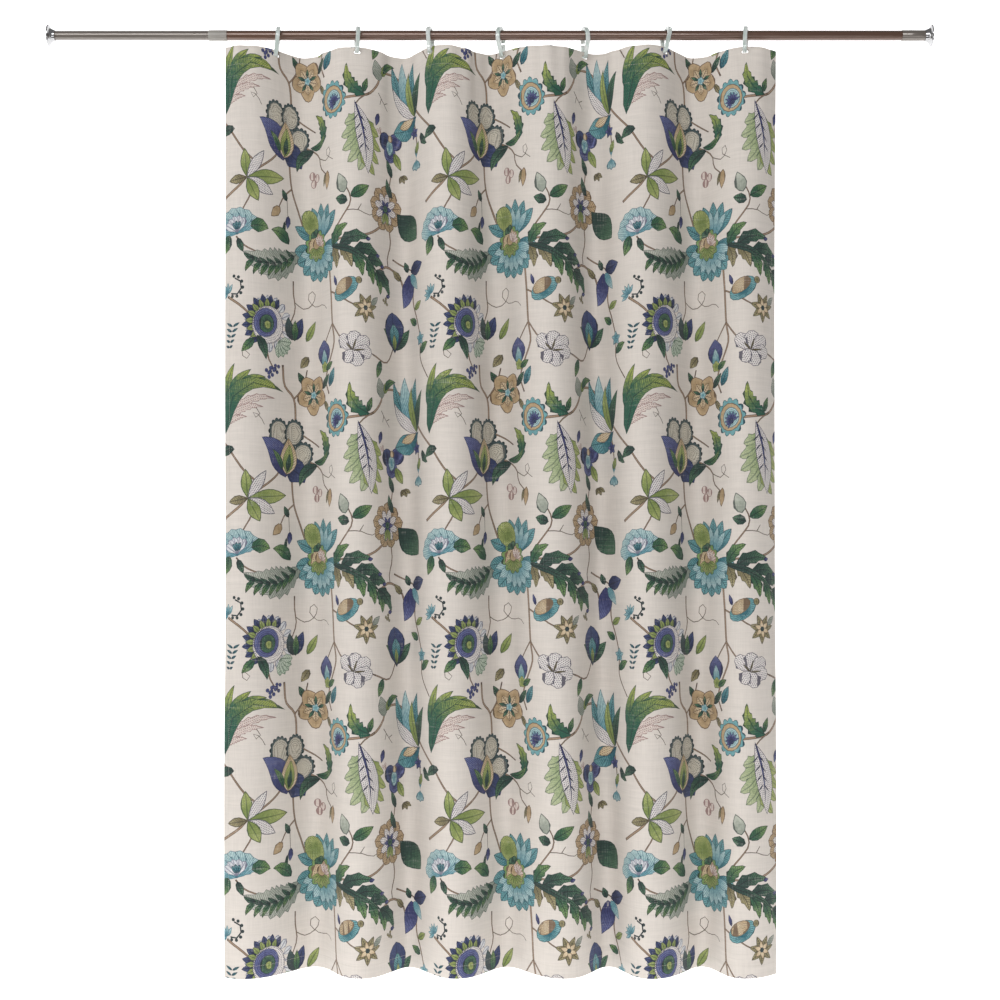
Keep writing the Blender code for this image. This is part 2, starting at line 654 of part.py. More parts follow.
def main():
    """Build the whole object."""
    clear_scene()
    finishes = {
        "tube": material("tube_metal", (0.34, 0.28, 0.25), 0.25, 1.0),
        "chrome": material("chrome", (0.80, 0.80, 0.81), 0.08, 1.0),
        "rubber": material("pad_rubber", (0.55, 0.55, 0.54), 0.8),
        "nylon": material("nylon", (0.75, 0.75, 0.73), 0.5),
        "bush": material("bush_plastic", (0.40, 0.39, 0.37), 0.35),
        "ring": material("ring_plastic", (0.90, 0.95, 0.93), 0.12, 0.0, 0.35),
        "cloth": material("printed_cloth", (0.62, 0.56, 0.50), 0.85),
        "hem": material("hem_cloth", (0.66, 0.60, 0.54), 0.85),
    }
    drape = Drape()
    build_rod(finishes)
    build_curtain(drape, finishes)
    build_rings(drape, finishes["ring"])


main()
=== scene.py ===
"""Looks of a printed shower curtain that hangs by snap rings from a telescopic tension rod.

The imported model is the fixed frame: the rod lies along X, the curtain's front faces -Y and +Z is up. The cloth
is one sheet with its print, its hems and its stitching; the metal and plastic pieces are turned and extruded at
the frame's sizes. All sizes are in metres.
"""

import logging
import math
from dataclasses import dataclass, field
from enum import Enum
from typing import Any, Callable, Iterable, Optional, Sequence, Union

import bmesh
import bpy
import numpy as np
from mathutils import Euler, Matrix, Vector
from mathutils.geometry import delaunay_2d_cdt
from mathutils.kdtree import KDTree


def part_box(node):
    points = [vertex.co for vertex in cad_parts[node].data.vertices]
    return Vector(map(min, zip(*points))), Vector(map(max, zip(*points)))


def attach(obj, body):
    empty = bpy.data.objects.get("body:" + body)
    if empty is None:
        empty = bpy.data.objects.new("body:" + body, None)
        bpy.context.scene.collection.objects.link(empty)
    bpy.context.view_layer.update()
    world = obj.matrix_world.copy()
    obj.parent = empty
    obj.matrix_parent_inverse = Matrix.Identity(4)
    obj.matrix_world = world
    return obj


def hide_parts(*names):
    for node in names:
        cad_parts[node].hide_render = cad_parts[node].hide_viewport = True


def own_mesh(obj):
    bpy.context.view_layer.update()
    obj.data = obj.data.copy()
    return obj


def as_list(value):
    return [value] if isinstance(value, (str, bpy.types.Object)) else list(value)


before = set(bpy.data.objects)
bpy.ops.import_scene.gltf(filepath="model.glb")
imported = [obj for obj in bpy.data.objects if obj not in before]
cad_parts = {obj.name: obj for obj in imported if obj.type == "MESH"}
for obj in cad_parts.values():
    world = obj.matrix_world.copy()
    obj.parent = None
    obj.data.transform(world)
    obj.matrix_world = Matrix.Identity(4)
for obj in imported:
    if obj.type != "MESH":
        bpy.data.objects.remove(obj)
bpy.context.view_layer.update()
log = logging.getLogger("curtain")

Colour = tuple[float, float, float]
Array = np.ndarray


def dye_colour(red: int, green: int, blue: int) -> Colour:
    """A linear colour from red, green and blue as they are seen, from 0 to 255."""
    def linear(part: float) -> float:
        """One part as light."""
        share = part / 255
        return share / 12.92 if share <= 0.04045 else ((share + 0.055) / 1.055) ** 2.4
    return linear(red), linear(green), linear(blue)


def ease(share: Any) -> Any:
    """From 0 to 1 with a level start and end, for a number or an array."""
    share = np.clip(share, 0.0, 1.0)
    return share * share * (3 - 2 * share)


# ------------------------------------------------------------------------------------------ materials

class Signal:
    """A socket that varies over the surface, which Python's operators turn into Math nodes."""

    def __init__(self, recipe: "Recipe", socket: bpy.types.NodeSocket) -> None:
        """Keep the socket and the recipe that it belongs to."""
        self.recipe, self.socket = recipe, socket

    def maths(self, operation: str, *others: Any) -> "Signal":
        """A Math node on this signal and what follows it."""
        sockets = dict(enumerate((self, *others)))
        return self.recipe.node("ShaderNodeMath", {"operation": operation}, sockets)

    def __add__(self, other: Any) -> "Signal":
        """Sum."""
        return self.maths("ADD", other)

    __radd__ = __add__

    def __mul__(self, other: Any) -> "Signal":
        """Product."""
        return self.maths("MULTIPLY", other)

    __rmul__ = __mul__

    def __sub__(self, other: Any) -> "Signal":
        """Difference."""
        return self.maths("SUBTRACT", other)

    def __rsub__(self, other: Any) -> "Signal":
        """Difference from a number."""
        return (self * -1.0) + other

    def __truediv__(self, other: Any) -> "Signal":
        """Quotient."""
        return self.maths("DIVIDE", other)

    def __abs__(self) -> "Signal":
        """Size without its sign."""
        return self.maths("ABSOLUTE")

    def fraction(self) -> "Signal":
        """What is left over a whole number."""
        return self.maths("FRACT")

    def floor(self) -> "Signal":
        """The whole number below."""
        return self.maths("FLOOR")

    def sine(self) -> "Signal":
        """Sine of an angle in radians."""
        return self.maths("SINE")

    def between(self, low: float, high: float) -> "Signal":
        """0 at low and 1 at high, with a smooth rise; low may be the larger."""
        return self.recipe.node(
            "ShaderNodeMapRange", {"interpolation_type": "SMOOTHSTEP"},
            {"Value": self, "From Min": low, "From Max": high},
        )

    def line(self, share: float, soft: float) -> "Signal":
        """1 in a line as wide as a share of each whole step, 0 between the lines."""
        off_middle = abs(self.fraction() - 0.5)
        return off_middle.between(share / 2 + soft, share / 2 - soft)


class Recipe:
    """One material and its node tree."""

    def __init__(self, name: str) -> None:
        """Start a material with an empty tree, a shader and its output."""
        self.material = bpy.data.materials.new(name)
        self.material.use_nodes = True
        self.tree = self.material.node_tree
        self.tree.nodes.clear()
        self.shader = self.tree.nodes.new("ShaderNodeBsdfPrincipled")
        output = self.tree.nodes.new("ShaderNodeOutputMaterial")
        self.tree.links.new(self.shader.outputs[0], output.inputs["Surface"])

    def node(
        self, kind: str, settings: Optional[dict] = None, sockets: Optional[dict] = None,
        output: Union[int, str] = 0,
    ) -> Signal:
        """Add any node.

        Args:
            kind: The node's type.
            settings: Its properties, set first.
            sockets: Values or signals for its inputs, by name or number.
            output: The output that is handed back.

        Returns:
            That output as a signal.
        """
        made = self.tree.nodes.new(kind)
        for key, value in (settings or {}).items():
            setattr(made, key, value)
        for key, value in (sockets or {}).items():
            self.feed(made.inputs[key], value)
        return Signal(self, made.outputs[output])

    def feed(self, socket: bpy.types.NodeSocket, value: Any) -> None:
        """Link a signal to a socket, or set the socket to a number or a colour."""
        if isinstance(value, Signal):
            self.tree.links.new(value.socket, socket)
        elif isinstance(value, tuple) and socket.type == "RGBA":
            socket.default_value = (*value, 1.0)
        else:
            socket.default_value = value

    def mix(self, share: Any, first: Any, second: Any) -> Signal:
        """A colour between two colours."""
        sockets = {0: share, 6: first, 7: second}
        return self.node("ShaderNodeMix", {"data_type": "RGBA"}, sockets, 2)

    def shaded(self, colour: Any, amount: Any) -> Signal:
        """A colour scaled by a number."""
        sockets = {0: colour, "Scale": amount}
        return self.node("ShaderNodeVectorMath", {"operation": "SCALE"}, sockets)

    def attribute(self, key: str, output: str) -> Signal:
        """An attribute of the mesh."""
        return self.node("ShaderNodeAttribute", {"attribute_name": key}, output=output)

    def part(self, vector: Signal, axis: str) -> Signal:
        """One part of a vector."""
        return self.node("ShaderNodeSeparateXYZ", None, {"Vector": vector}, axis)

    def coordinates(self) -> Signal:
        """Places in the frame, in metres."""
        return self.node("ShaderNodeTexCoord", output="Object")

    def noise(self, scale: float, detail: float = 2.0, place: Any = None, stretch: tuple = (1, 1, 1)) -> Signal:
        """Cloudy noise from 0 to 1, drawn out by a stretch of its coordinates."""
        place = place or self.coordinates()
        place = self.node("ShaderNodeMapping", None, {"Vector": place, "Scale": stretch})
        return self.node("ShaderNodeTexNoise", None, {"Vector": place, "Scale": scale, "Detail": detail})

    def bump(self, height: Signal, depth: float) -> Signal:
        """A normal that follows a height from 0 to 1 over a depth in metres."""
        return self.node("ShaderNodeBump", None, {"Height": height, "Distance": depth, "Strength": 1.0}, "Normal")

    def finish(self, **sockets: Any) -> bpy.types.Material:
        """Set the shader's sockets by name, with _ for a space, and hand back the material."""
        for name, value in sockets.items():
            self.feed(self.shader.inputs[name.replace("_", " ")], value)
        return self.material


@dataclass(frozen=True)
class DrawnMetal:
    """Tube metal with fine draw lines along the rod and faint handling marks, under a clear lacquer."""

    name: str
    colour: Colour
    roughness: float = 0.24
    line_depth: float = 0.000004
    metallic: float = 0.35
    lacquer_roughness: float = 0.14

    def material(self) -> bpy.types.Material:
        """The finish as a material."""
        recipe = Recipe(self.name)
        lines = recipe.noise(900.0, 3.0, stretch=(0.012, 1.0, 1.0))
        clouds = recipe.noise(35.0, 3.0, stretch=(0.25, 1.0, 1.0))
        specks = recipe.noise(2600.0, 1.0).between(0.70, 0.78)
        colour = recipe.shaded(self.colour, 0.90 + lines * 0.12 + clouds * 0.08)
        return recipe.finish(
            Base_Color=colour, Metallic=self.metallic,
            Roughness=self.roughness - 0.05 + lines * 0.07 + clouds * 0.06 + specks * 0.10,
            Normal=recipe.bump(lines, self.line_depth),
            Coat_Weight=1.0, Coat_Roughness=self.lacquer_roughness,
        )


@dataclass(frozen=True)
class PolishedChrome:
    """Bright plating with faint smudges and fine hairlines."""

    name: str = "polished_chrome"
    colour: Colour = (0.50, 0.50, 0.51)

    def material(self) -> bpy.types.Material:
        """The finish as a material."""
        recipe = Recipe(self.name)
        smudge = recipe.noise(70.0, 4.0).between(0.45, 0.75)
        hair = recipe.noise(1500.0, 2.0, stretch=(1.0, 0.1, 0.1))
        return recipe.finish(
            Base_Color=recipe.shaded(self.colour, 1.0 - smudge * 0.05), Metallic=1.0,
            Roughness=0.05 + smudge * 0.06 + hair * 0.03,
            Normal=recipe.bump(hair, 0.000001),
        )


@dataclass(frozen=True)
class Moulded:
    """Opaque moulded plastic or rubber with a fine grain."""

    name: str
    colour: Colour
    roughness: float
    grain: float = 1800.0
    depth: float = 0.00001

    def material(self) -> bpy.types.Material:
        """The finish as a material."""
        recipe = Recipe(self.name)
        grain = recipe.noise(self.grain, 2.0)
        tone = recipe.noise(60.0, 2.0)
        return recipe.finish(
            Base_Color=recipe.shaded(self.colour, 0.92 + tone * 0.14),
            Roughness=self.roughness - 0.06 + grain * 0.12,
            Normal=recipe.bump(grain, self.depth),
        )


@dataclass(frozen=True)
class MilkyPlastic:
    """Clear plastic with a milky green cast, as on the snap rings."""

    name: str = "milky_plastic"
    clear: Colour = dye_colour(236, 240, 238)
    cast: Colour = dye_colour(202, 216, 210)

    def material(self) -> bpy.types.Material:
        """The finish as a material."""
        recipe = Recipe(self.name)
        flow = recipe.noise(120.0, 3.0, stretch=(1.0, 1.0, 0.35))
        skin = recipe.noise(900.0, 2.0)
        return recipe.finish(
            Base_Color=recipe.mix(flow.between(0.35, 0.7), self.clear, self.cast),
            Roughness=0.10 + skin * 0.10, IOR=1.49, Transmission_Weight=0.35,
            Coat_Weight=0.6, Coat_Roughness=0.06,
            Normal=recipe.bump(flow, 0.00004),
        )


class Linen:
    """The curtain's cloth: a slubbed plain weave on the flat cloth's own places, and the print on it."""

    thread = 0.00075
    relief = 0.00012
    vein_pitch, rib_width = 0.0052, 0.0005
    dot_pitch, hatch_pitch, stripe_pitch = 0.0040, 0.0046, 0.0034
    ground: Colour = dye_colour(211, 203, 195)

    def weave(self, recipe: Recipe) -> tuple[Signal, Signal]:
        """The height of the crossing threads and the tone of the thick and thin ones.

        Args:
            recipe: The material that the weave is for.

        Returns:
            Height from 0 to 1, and tone from 0 to 1.
        """
        flat = recipe.attribute("flat", "Vector")
        across, down = (recipe.part(flat, axis) for axis in "XY")
        warp = (across * (math.tau / self.thread)).sine()
        weft = (down * (math.tau / self.thread)).sine()
        crossing = (warp * weft) * 0.5 + 0.5
        upright = recipe.noise(420.0, 2.0, flat, (1.0, 0.05, 1.0))
        level = recipe.noise(420.0, 2.0, flat, (0.05, 1.0, 1.0))
        broad = recipe.noise(110.0, 1.0, flat, (0.04, 1.0, 1.0))
        slub = upright * 0.36 + level * 0.40 + broad * 0.24
        return crossing * 0.55 + slub * 0.45, slub

    def plain(self, name: str, colour: Colour) -> bpy.types.Material:
        """The unprinted cloth, as on the hems' backs."""
        recipe = Recipe(name)
        height, slub = self.weave(recipe)
        tone = 0.86 + slub.between(0.25, 0.75) * 0.18
        return recipe.finish(
            Base_Color=recipe.shaded(colour, tone), Roughness=0.86 - slub * 0.06,
            Normal=recipe.bump(height, self.relief), Sheen_Weight=0.12, Sheen_Roughness=0.5,
        )

    def printed(self, name: str) -> bpy.types.Material:
        """The printed cloth, bare wherever no ink is laid."""
        recipe = Recipe(name)
        height, slub = self.weave(recipe)
        attribute = recipe.attribute
        place = attribute("ink_place", "Vector")
        along, across, inside = (recipe.part(place, axis) for axis in "XYZ")
        weights = {"Color": attribute("ink_pattern", "Color")}
        veined, dotted, hatched = (recipe.node("ShaderNodeSeparateColor", None, weights, n) for n in range(3))
        striped = attribute("ink_pattern", "Alpha")
        tone, cover, rim = (attribute(key, "Alpha") for key in ("ink_body", "ink_tip", "ink_line"))
        side = abs(across)
        wobble = recipe.noise(300.0, 2.0, attribute("flat", "Vector")) - 0.5
        veins = ((along - side * 0.9) / self.vein_pitch + wobble * 0.5).line(0.30, 0.12)
        veins = veins * inside.between(0.0, 0.002)
        row = (across / self.dot_pitch).floor()
        dot_x = (along / self.dot_pitch + row * 0.5).fraction() - 0.5
        dot_y = (across / self.dot_pitch).fraction() - 0.5
        dots = (dot_x * dot_x + dot_y * dot_y).between(0.085, 0.05)
        hatch = ((along + across) / self.hatch_pitch).line(0.24, 0.1).maths(
            "MAXIMUM", ((along - across) / self.hatch_pitch).line(0.24, 0.1))
        stripes = (across / self.stripe_pitch + wobble * 0.6).line(0.36, 0.14)
        rib = (side - (1.0 - tone) * self.rib_width).between(0.0008, 0.0004) * (veined * 2.0).between(0.0, 1.0)
        drawing = (veins * veined).maths("MAXIMUM", rib).maths("MAXIMUM", dots * dotted)
        drawing = drawing.maths("MAXIMUM", hatch * hatched).maths("MAXIMUM", stripes * striped)
        outline = (inside / rim).between(1.2, 0.75)
        brush = recipe.noise(170.0, 3.0, attribute("flat", "Vector")) - 0.5
        blend = (tone + brush * 0.55).between(0.25, 0.95)
        body = recipe.mix(blend, attribute("ink_body", "Color"), attribute("ink_tip", "Color"))
        body = recipe.shaded(body, 1.0 + brush * 0.5)
        drawn = drawing.maths("MAXIMUM", outline) * 0.92
        body = recipe.mix(drawn, body, attribute("ink_line", "Color"))
        dry = 1.0 - (slub.between(0.52, 0.74) * 0.30)
        colour = recipe.mix(cover * dry, self.ground, body)
        return recipe.finish(
            Base_Color=recipe.shaded(colour, 0.88 + slub.between(0.25, 0.75) * 0.15),
            Roughness=0.84 - slub * 0.06 - cover * 0.04,
            Normal=recipe.bump(height, self.relief), Sheen_Weight=0.10, Sheen_Roughness=0.5,
        )


@dataclass(frozen=True)
class Thread:
    """Twisted sewing thread, with painted shade darkening its grooves."""

    name: str = "sewing_thread"
    colour: Colour = dye_colour(196, 187, 174)

    def material(self) -> bpy.types.Material:
        """The finish as a material."""
        recipe = Recipe(self.name)
        place = recipe.coordinates()
        parts = [recipe.part(place, axis) for axis in "XYZ"]
        twist_and_groove_shade = ((parts[0] + parts[1] + parts[2]) * (math.tau / 0.0005)).sine() * 0.5 + 0.5
        return recipe.finish(
            # Painted shade: the base colour is darker in the thread's grooves and lighter on its ridges.
            Base_Color=recipe.shaded(self.colour, 0.80 + twist_and_groove_shade * 0.22), Roughness=0.7 + twist_and_groove_shade * 0.1,
            Normal=recipe.bump(twist_and_groove_shade, 0.00004), Sheen_Weight=0.2,
        )


# ---------------------------------------------------------------------------------------- modelling

class Workshop:
    """Blender's modelling operators as the pieces here use them."""

    @staticmethod
    def clear_selection() -> None:
        """Leave nothing selected."""
        for item in bpy.context.selected_objects:
            item.select_set(False)

    @staticmethod
    def added(name: str, data: bpy.types.ID) -> bpy.types.Object:
        """A new object in the scene."""
        made = bpy.data.objects.new(name, data)
        bpy.context.scene.collection.objects.link(made)
        return made

    @classmethod
    def plate(cls, place: Sequence[float], size: tuple[float, float], lean: float = 0.0) -> bpy.types.Object:
        """A flat rectangle that leans about X, with its turn and size applied."""
        cls.clear_selection()
        bpy.ops.mesh.primitive_plane_add(size=1, location=place, rotation=(lean, 0, 0))
        made = bpy.context.object
        made.scale = (*size, 1)
        bpy.ops.object.transform_apply(location=True, rotation=True, scale=True)
        return made

    @staticmethod
    def edit() -> None:
        """Go into edit mode on the active object with nothing selected."""
        bpy.ops.object.mode_set(mode="EDIT")
        bpy.ops.mesh.select_all(action="DESELECT")

    @staticmethod
    def done() -> bpy.types.Object:
        """Leave edit mode with outward normals and hand back the object."""
        bpy.ops.mesh.select_all(action="SELECT")
        bpy.ops.mesh.remove_doubles(threshold=1e-6)
        bpy.ops.mesh.normals_make_consistent(inside=False)
        bpy.ops.object.mode_set(mode="OBJECT")
        return bpy.context.object

    @staticmethod
    def pick(wanted: Callable[[Vector], bool]) -> None:
        """Select the vertices whose place passes a test."""
        shape = bmesh.from_edit_mesh(bpy.context.object.data)
        for vert in shape.verts:
            vert.select_set(wanted(vert.co))
        shape.select_flush(True)
        bmesh.update_edit_mesh(bpy.context.object.data)

    @classmethod
    def turned(cls, name: str, profile: Sequence[tuple[float, float]], steps: int = 96) -> bpy.types.Object:
        """Turn a closed profile round the X axis: a circle is extruded and scaled from place to place.

        Args:
            name: The piece's name.
            profile: Places along X with their radius, in order round the section.
            steps: How many sides the turning has.

        Returns:
            The turned piece.
        """
        cls.clear_selection()
        start, radius = profile[0]
        bpy.ops.mesh.primitive_circle_add(
            vertices=steps, radius=radius, fill_type="NOTHING", location=(start, 0, 0),
            rotation=(0, math.pi / 2, 0),
        )
        made = bpy.context.object
        made.name = made.data.name = name
        bpy.ops.object.transform_apply(location=True, rotation=True, scale=True)
        cls.edit()
        bpy.ops.mesh.select_all(action="SELECT")
        for (x, r), (next_x, next_r) in zip(profile, profile[1:]):
            bpy.ops.mesh.extrude_region_move(TRANSFORM_OT_translate={"value": (next_x - x, 0, 0)})
            bpy.ops.transform.resize(value=(1, next_r / r, next_r / r), center_override=(next_x, 0, 0))
        ends = [profile[0], profile[-1]]
        cls.pick(lambda co: any(
            abs(co.x - x) < 1e-6 and abs(math.hypot(co.y, co.z) - r) < 1e-5 for x, r in ends))
        bpy.ops.mesh.bridge_edge_loops()
        return cls.done()

    @staticmethod
    def apply(piece: bpy.types.Object, kind: str, **settings: Any) -> None:
        """Add a modifier with its settings and apply it."""
        modifier = piece.modifiers.new(kind.lower(), kind)
        for key, value in settings.items():
            setattr(modifier, key, value)
        with bpy.context.temp_override(object=piece, active_object=piece):
            bpy.ops.object.modifier_apply(modifier=modifier.name)

    @classmethod
    def rounded(cls, piece: bpy.types.Object, width: float, segments: int = 3, angle: float = 30.0) -> None:
        """Round the sharp edges and shade the piece smooth."""
        cls.apply(
            piece, "BEVEL", width=width, segments=segments, limit_method="ANGLE",
            angle_limit=math.radians(angle), harden_normals=False,
        )
        cls.smooth(piece)

    @classmethod
    def smooth(cls, piece: bpy.types.Object, angle: float = 40.0) -> None:
        """Shade smooth, apart from edges sharper than the angle."""
        cls.clear_selection()
        piece.select_set(True)
        bpy.context.view_layer.objects.active = piece
        bpy.ops.object.shade_smooth_by_angle(angle=math.radians(angle))

    @staticmethod
    def dress(piece: bpy.types.Object, finish: bpy.types.Material, slot: str) -> None:
        """Give a piece its only material."""
        piece.data.materials.clear()
        piece.data.materials.append(finish)


def report(piece: bpy.types.Object) -> None:
    """Log a finished piece and its size."""
    size = " x ".join(f"{1000 * part:.1f}" for part in piece.dimensions)
    log.info("%s: %s mm, %d faces", piece.name, size, len(piece.data.polygons))


# ---------------------------------------------------------------------------------------------- rod

@dataclass
class WallEnd:
    """The bell-shaped flange at one end of the rod."""

    side: str
    tube_radius: float
    wall: float = 0.0010
    neck_wall: float = 0.0016
    recess_depth: float = 0.0016
    fit: float = 0.0003
    rim_step: float = 0.0006
    flare: float = 0.9
    bell_steps: int = 14
    edge: float = 0.0005

    def profile(self) -> list[tuple[float, float]]:
        """The flange's section as places out from the wall with their radius."""
        low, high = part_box(f"{self.side}_flange")
        length, rim = high.x - low.x, high.z
        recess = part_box(f"{self.side}_wall_pad")[1].z + self.fit
        bore = self.tube_radius + self.fit
        neck = bore + self.neck_wall
        back = self.recess_depth + self.wall
        points = [(0.0, recess), (0.0, rim), (back - 0.0004, rim)]
        for step in range(self.bell_steps + 1):
            turn = 0.5 * math.pi * step / self.bell_steps
            points.append((
                back + (length - back) * (1 - math.cos(turn)) ** self.flare,
                neck + (rim - neck - self.rim_step) * (1 - math.sin(turn)),
            ))
        return points + [(length, bore), (self.recess_depth, bore), (self.recess_depth, recess)]

    def build(self, finish: bpy.types.Material) -> bpy.types.Object:
        """Turn the flange at its place against the wall and dress it."""
        low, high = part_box(f"{self.side}_flange")
        start, way = (high.x, -1) if self.side == "right" else (low.x, 1)
        piece = Workshop.turned(f"{self.side}_bell_flange", [(start + way * x, r) for x, r in self.profile()])
        Workshop.rounded(piece, self.edge / 2, 2)
        Workshop.dress(piece, finish, "chrome")
        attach(piece, "rod_outer" if self.side == "right" else "rod_inner")
        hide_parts(f"{self.side}_flange")
        return piece


@dataclass
class Rod:
    """The two tubes, the bush at the outer one's mouth, the ferrule and what the tubes hold."""

    tube_wall: float = 0.0004
    bush_lip: float = 0.001
    edge: float = 0.00015

    def turned_like(
        self, node: str, name: str, bore: float, finish: bpy.types.Material, slot: str, body: str,
        lip: float = 0.0,
    ) -> bpy.types.Object:
        """Turn a plain sleeve or tube with rounded rims at a node's place, and let it stand for that node."""
        low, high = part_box(node)
        radius = high.z
        if lip:
            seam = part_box("outer_tube")[0].x - 0.0003
            step_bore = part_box("outer_tube")[1].z + 0.0002
            profile = [
                (low.x, bore), (seam, bore), (seam, step_bore), (high.x, step_bore), (high.x, radius),
                (low.x + 2 * lip, radius), (low.x + lip / 2, radius - lip * 0.15), (low.x, radius - lip / 2),
            ]
        else:
            profile = [(low.x, bore), (high.x, bore), (high.x, radius), (low.x, radius)]
        piece = Workshop.turned(name, profile)
        Workshop.rounded(piece, self.edge / 2, 2)
        Workshop.dress(piece, finish, slot)
        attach(piece, body)
        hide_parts(node)
        return piece

    def build(self) -> list[bpy.types.Object]:
        """Make and dress every piece of the rod."""
        outer = DrawnMetal("bronze_tube", dye_colour(98, 71, 57), 0.24).material()
        inner = DrawnMetal("grey_tube", dye_colour(114, 106, 99), 0.22).material()
        sleeve = DrawnMetal("grey_sleeve", dye_colour(118, 110, 103), 0.20).material()
        bush = Moulded("bush_plastic", dye_colour(150, 146, 140), 0.32).material()
        chrome = PolishedChrome().material()
        rubber = Moulded("pad_rubber", dye_colour(120, 120, 118), 0.8, 900.0, 0.00003).material()
        nylon = Moulded("lock_nylon", dye_colour(226, 224, 216), 0.45).material()
        outer_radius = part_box("outer_tube")[1].z
        inner_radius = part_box("inner_tube")[1].z
        made = [
            self.turned_like(
                "outer_tube", "outer_rod_tube", outer_radius - self.tube_wall, outer, "tube_metal", "rod_outer"),
            self.turned_like(
                "inner_tube", "inner_rod_tube", inner_radius - self.tube_wall, inner, "tube_metal", "rod_inner"),
            self.turned_like(
                "right_ferrule", "wall_ferrule", outer_radius + 0.0002, sleeve, "tube_metal", "rod_outer"),
            self.turned_like(
                "mouth_bush", "mouth_sleeve", inner_radius + 0.0002, bush, "bush_plastic", "rod_outer",
                self.bush_lip),
            WallEnd("right", outer_radius).build(chrome),
            WallEnd("left", inner_radius).build(chrome),
        ]
        for node, finish in (
            ("right_wall_pad", rubber), ("left_wall_pad", rubber), ("right_end_plug", nylon),
            ("left_end_plug", nylon), ("lock_spindle", nylon), ("lock_collet", nylon),
        ):
            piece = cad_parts[node]
            piece.data.materials.clear()
            piece.data.materials.append(finish)
        return made


# -------------------------------------------------------------------------------------------- drape

def curve(values: Sequence[float], place: Array) -> Array:
    """A smooth curve through evenly numbered values, read at places between them."""
    known = np.asarray(values, float)
    known = np.concatenate([[2 * known[0] - known[1]], known, [2 * known[-1] - known[-2]]])
    place = np.asarray(place, float)
    start = np.clip(np.floor(place), 0, len(values) - 2).astype(int)
    share = place - start
    before, here, there, after = (known[start + k] for k in range(4))
    rise, run = (there - before) / 2, (after - here) / 2
    return (
        here * (2 * share**3 - 3 * share**2 + 1) + rise * (share**3 - 2 * share**2 + share)
        + there * (3 * share**2 - 2 * share**3) + run * (share**3 - share**2)
    )


def walked(line: Array) -> Array:
    """How far along a line each of its points is."""
    return np.concatenate([[0.0], np.cumsum(np.linalg.norm(np.diff(line, axis=0), axis=1))])


def read_off(line: Array, places: Any) -> Array:
    """Points of a line at distances along it."""
    return np.stack([np.interp(places, walked(line), part) for part in line.T], -1)


@dataclass(frozen=True)
class RingShape:
    """Sizes of a snap ring, in its own YZ plane with the rod's axis at the origin."""

    band: float = 0.008
    crown_radius: float = 0.0145
    foot_radius: float = 0.007
    reach: float = 0.041
    crown_thickness: float = 0.006
    foot_thickness: float = 0.0034
    gap: float = 0.003
    snap_height: float = -0.019
    seat_gap: float = 0.00035
    cloth_gap: float = 0.0005
    cloth_stack: float = 0.0015
    rod_radius: float = 0.0097

    @property
    def crown(self) -> Vector:
        """Middle of the arc over the rod, as (y, z)."""
        return Vector((0, self.rod_radius + self.seat_gap - self.crown_radius))

    @property
    def foot(self) -> Vector:
        """Middle of the arc under the cloth."""
        return Vector((0, self.foot_radius - self.reach))

    @property
    def slope(self) -> float:
        """How far the strands lean in towards the foot, in radians."""
        return math.asin((self.crown_radius - self.foot_radius) / (self.crown.y - self.foot.y))

    def inside(self) -> list[Vector]:
        """Points of the ring's inside over the crown, for seating it on the rod."""
        steps = 14
        turns = [-self.slope + (math.pi + 2 * self.slope) * step / steps for step in range(steps + 1)]
        return [self.crown + Vector((math.cos(t), math.sin(t))) * self.crown_radius for t in turns]


class RingHang:
    """How a ring hangs from the rod to a buttonhole at a given depth behind the rod's axis."""

    def __init__(self, shape: RingShape, depth: float, heading: float, yaw: float, lean: float) -> None:
        """Turn the ring towards the buttonhole and raise it until its crown clears the rod."""
        arm = shape.reach - shape.foot_radius
        slant = Euler((0, lean, 0)).to_matrix()
        self.turn = Euler((math.asin(depth / arm), 0, 0)).to_matrix() @ slant @ Euler((0, 0, yaw)).to_matrix()
        self.lift = self.seat(shape)
        self.foot_centre = self.turn @ Vector((0, 0, self.lift - arm))
        half = shape.band / 2
        aside = half * abs(math.tan(heading - yaw)) + shape.cloth_stack
        arc_rise = shape.foot_radius - math.sqrt(shape.foot_radius**2 - aside**2)
        rise = arc_rise + half * abs(math.sin(lean)) + shape.cloth_gap
        self.hole_top = self.foot_centre.z - shape.foot_radius + rise

    def seat(self, shape: RingShape) -> float:
        """How far the ring is raised along its own length."""
        upward = self.turn @ Vector((0, 0, 1))
        half = shape.band / 2
        corners = [
            self.turn @ Vector((across, point.x, point.y))
            for point in shape.inside() for across in (-half, 0.0, half)
        ]
        lift, step = 0.0, 0.00005
        while min(math.hypot((c + upward * lift).y, (c + upward * lift).z) for c in corners) \
                < shape.rod_radius + shape.seat_gap:
            lift += step
        return lift


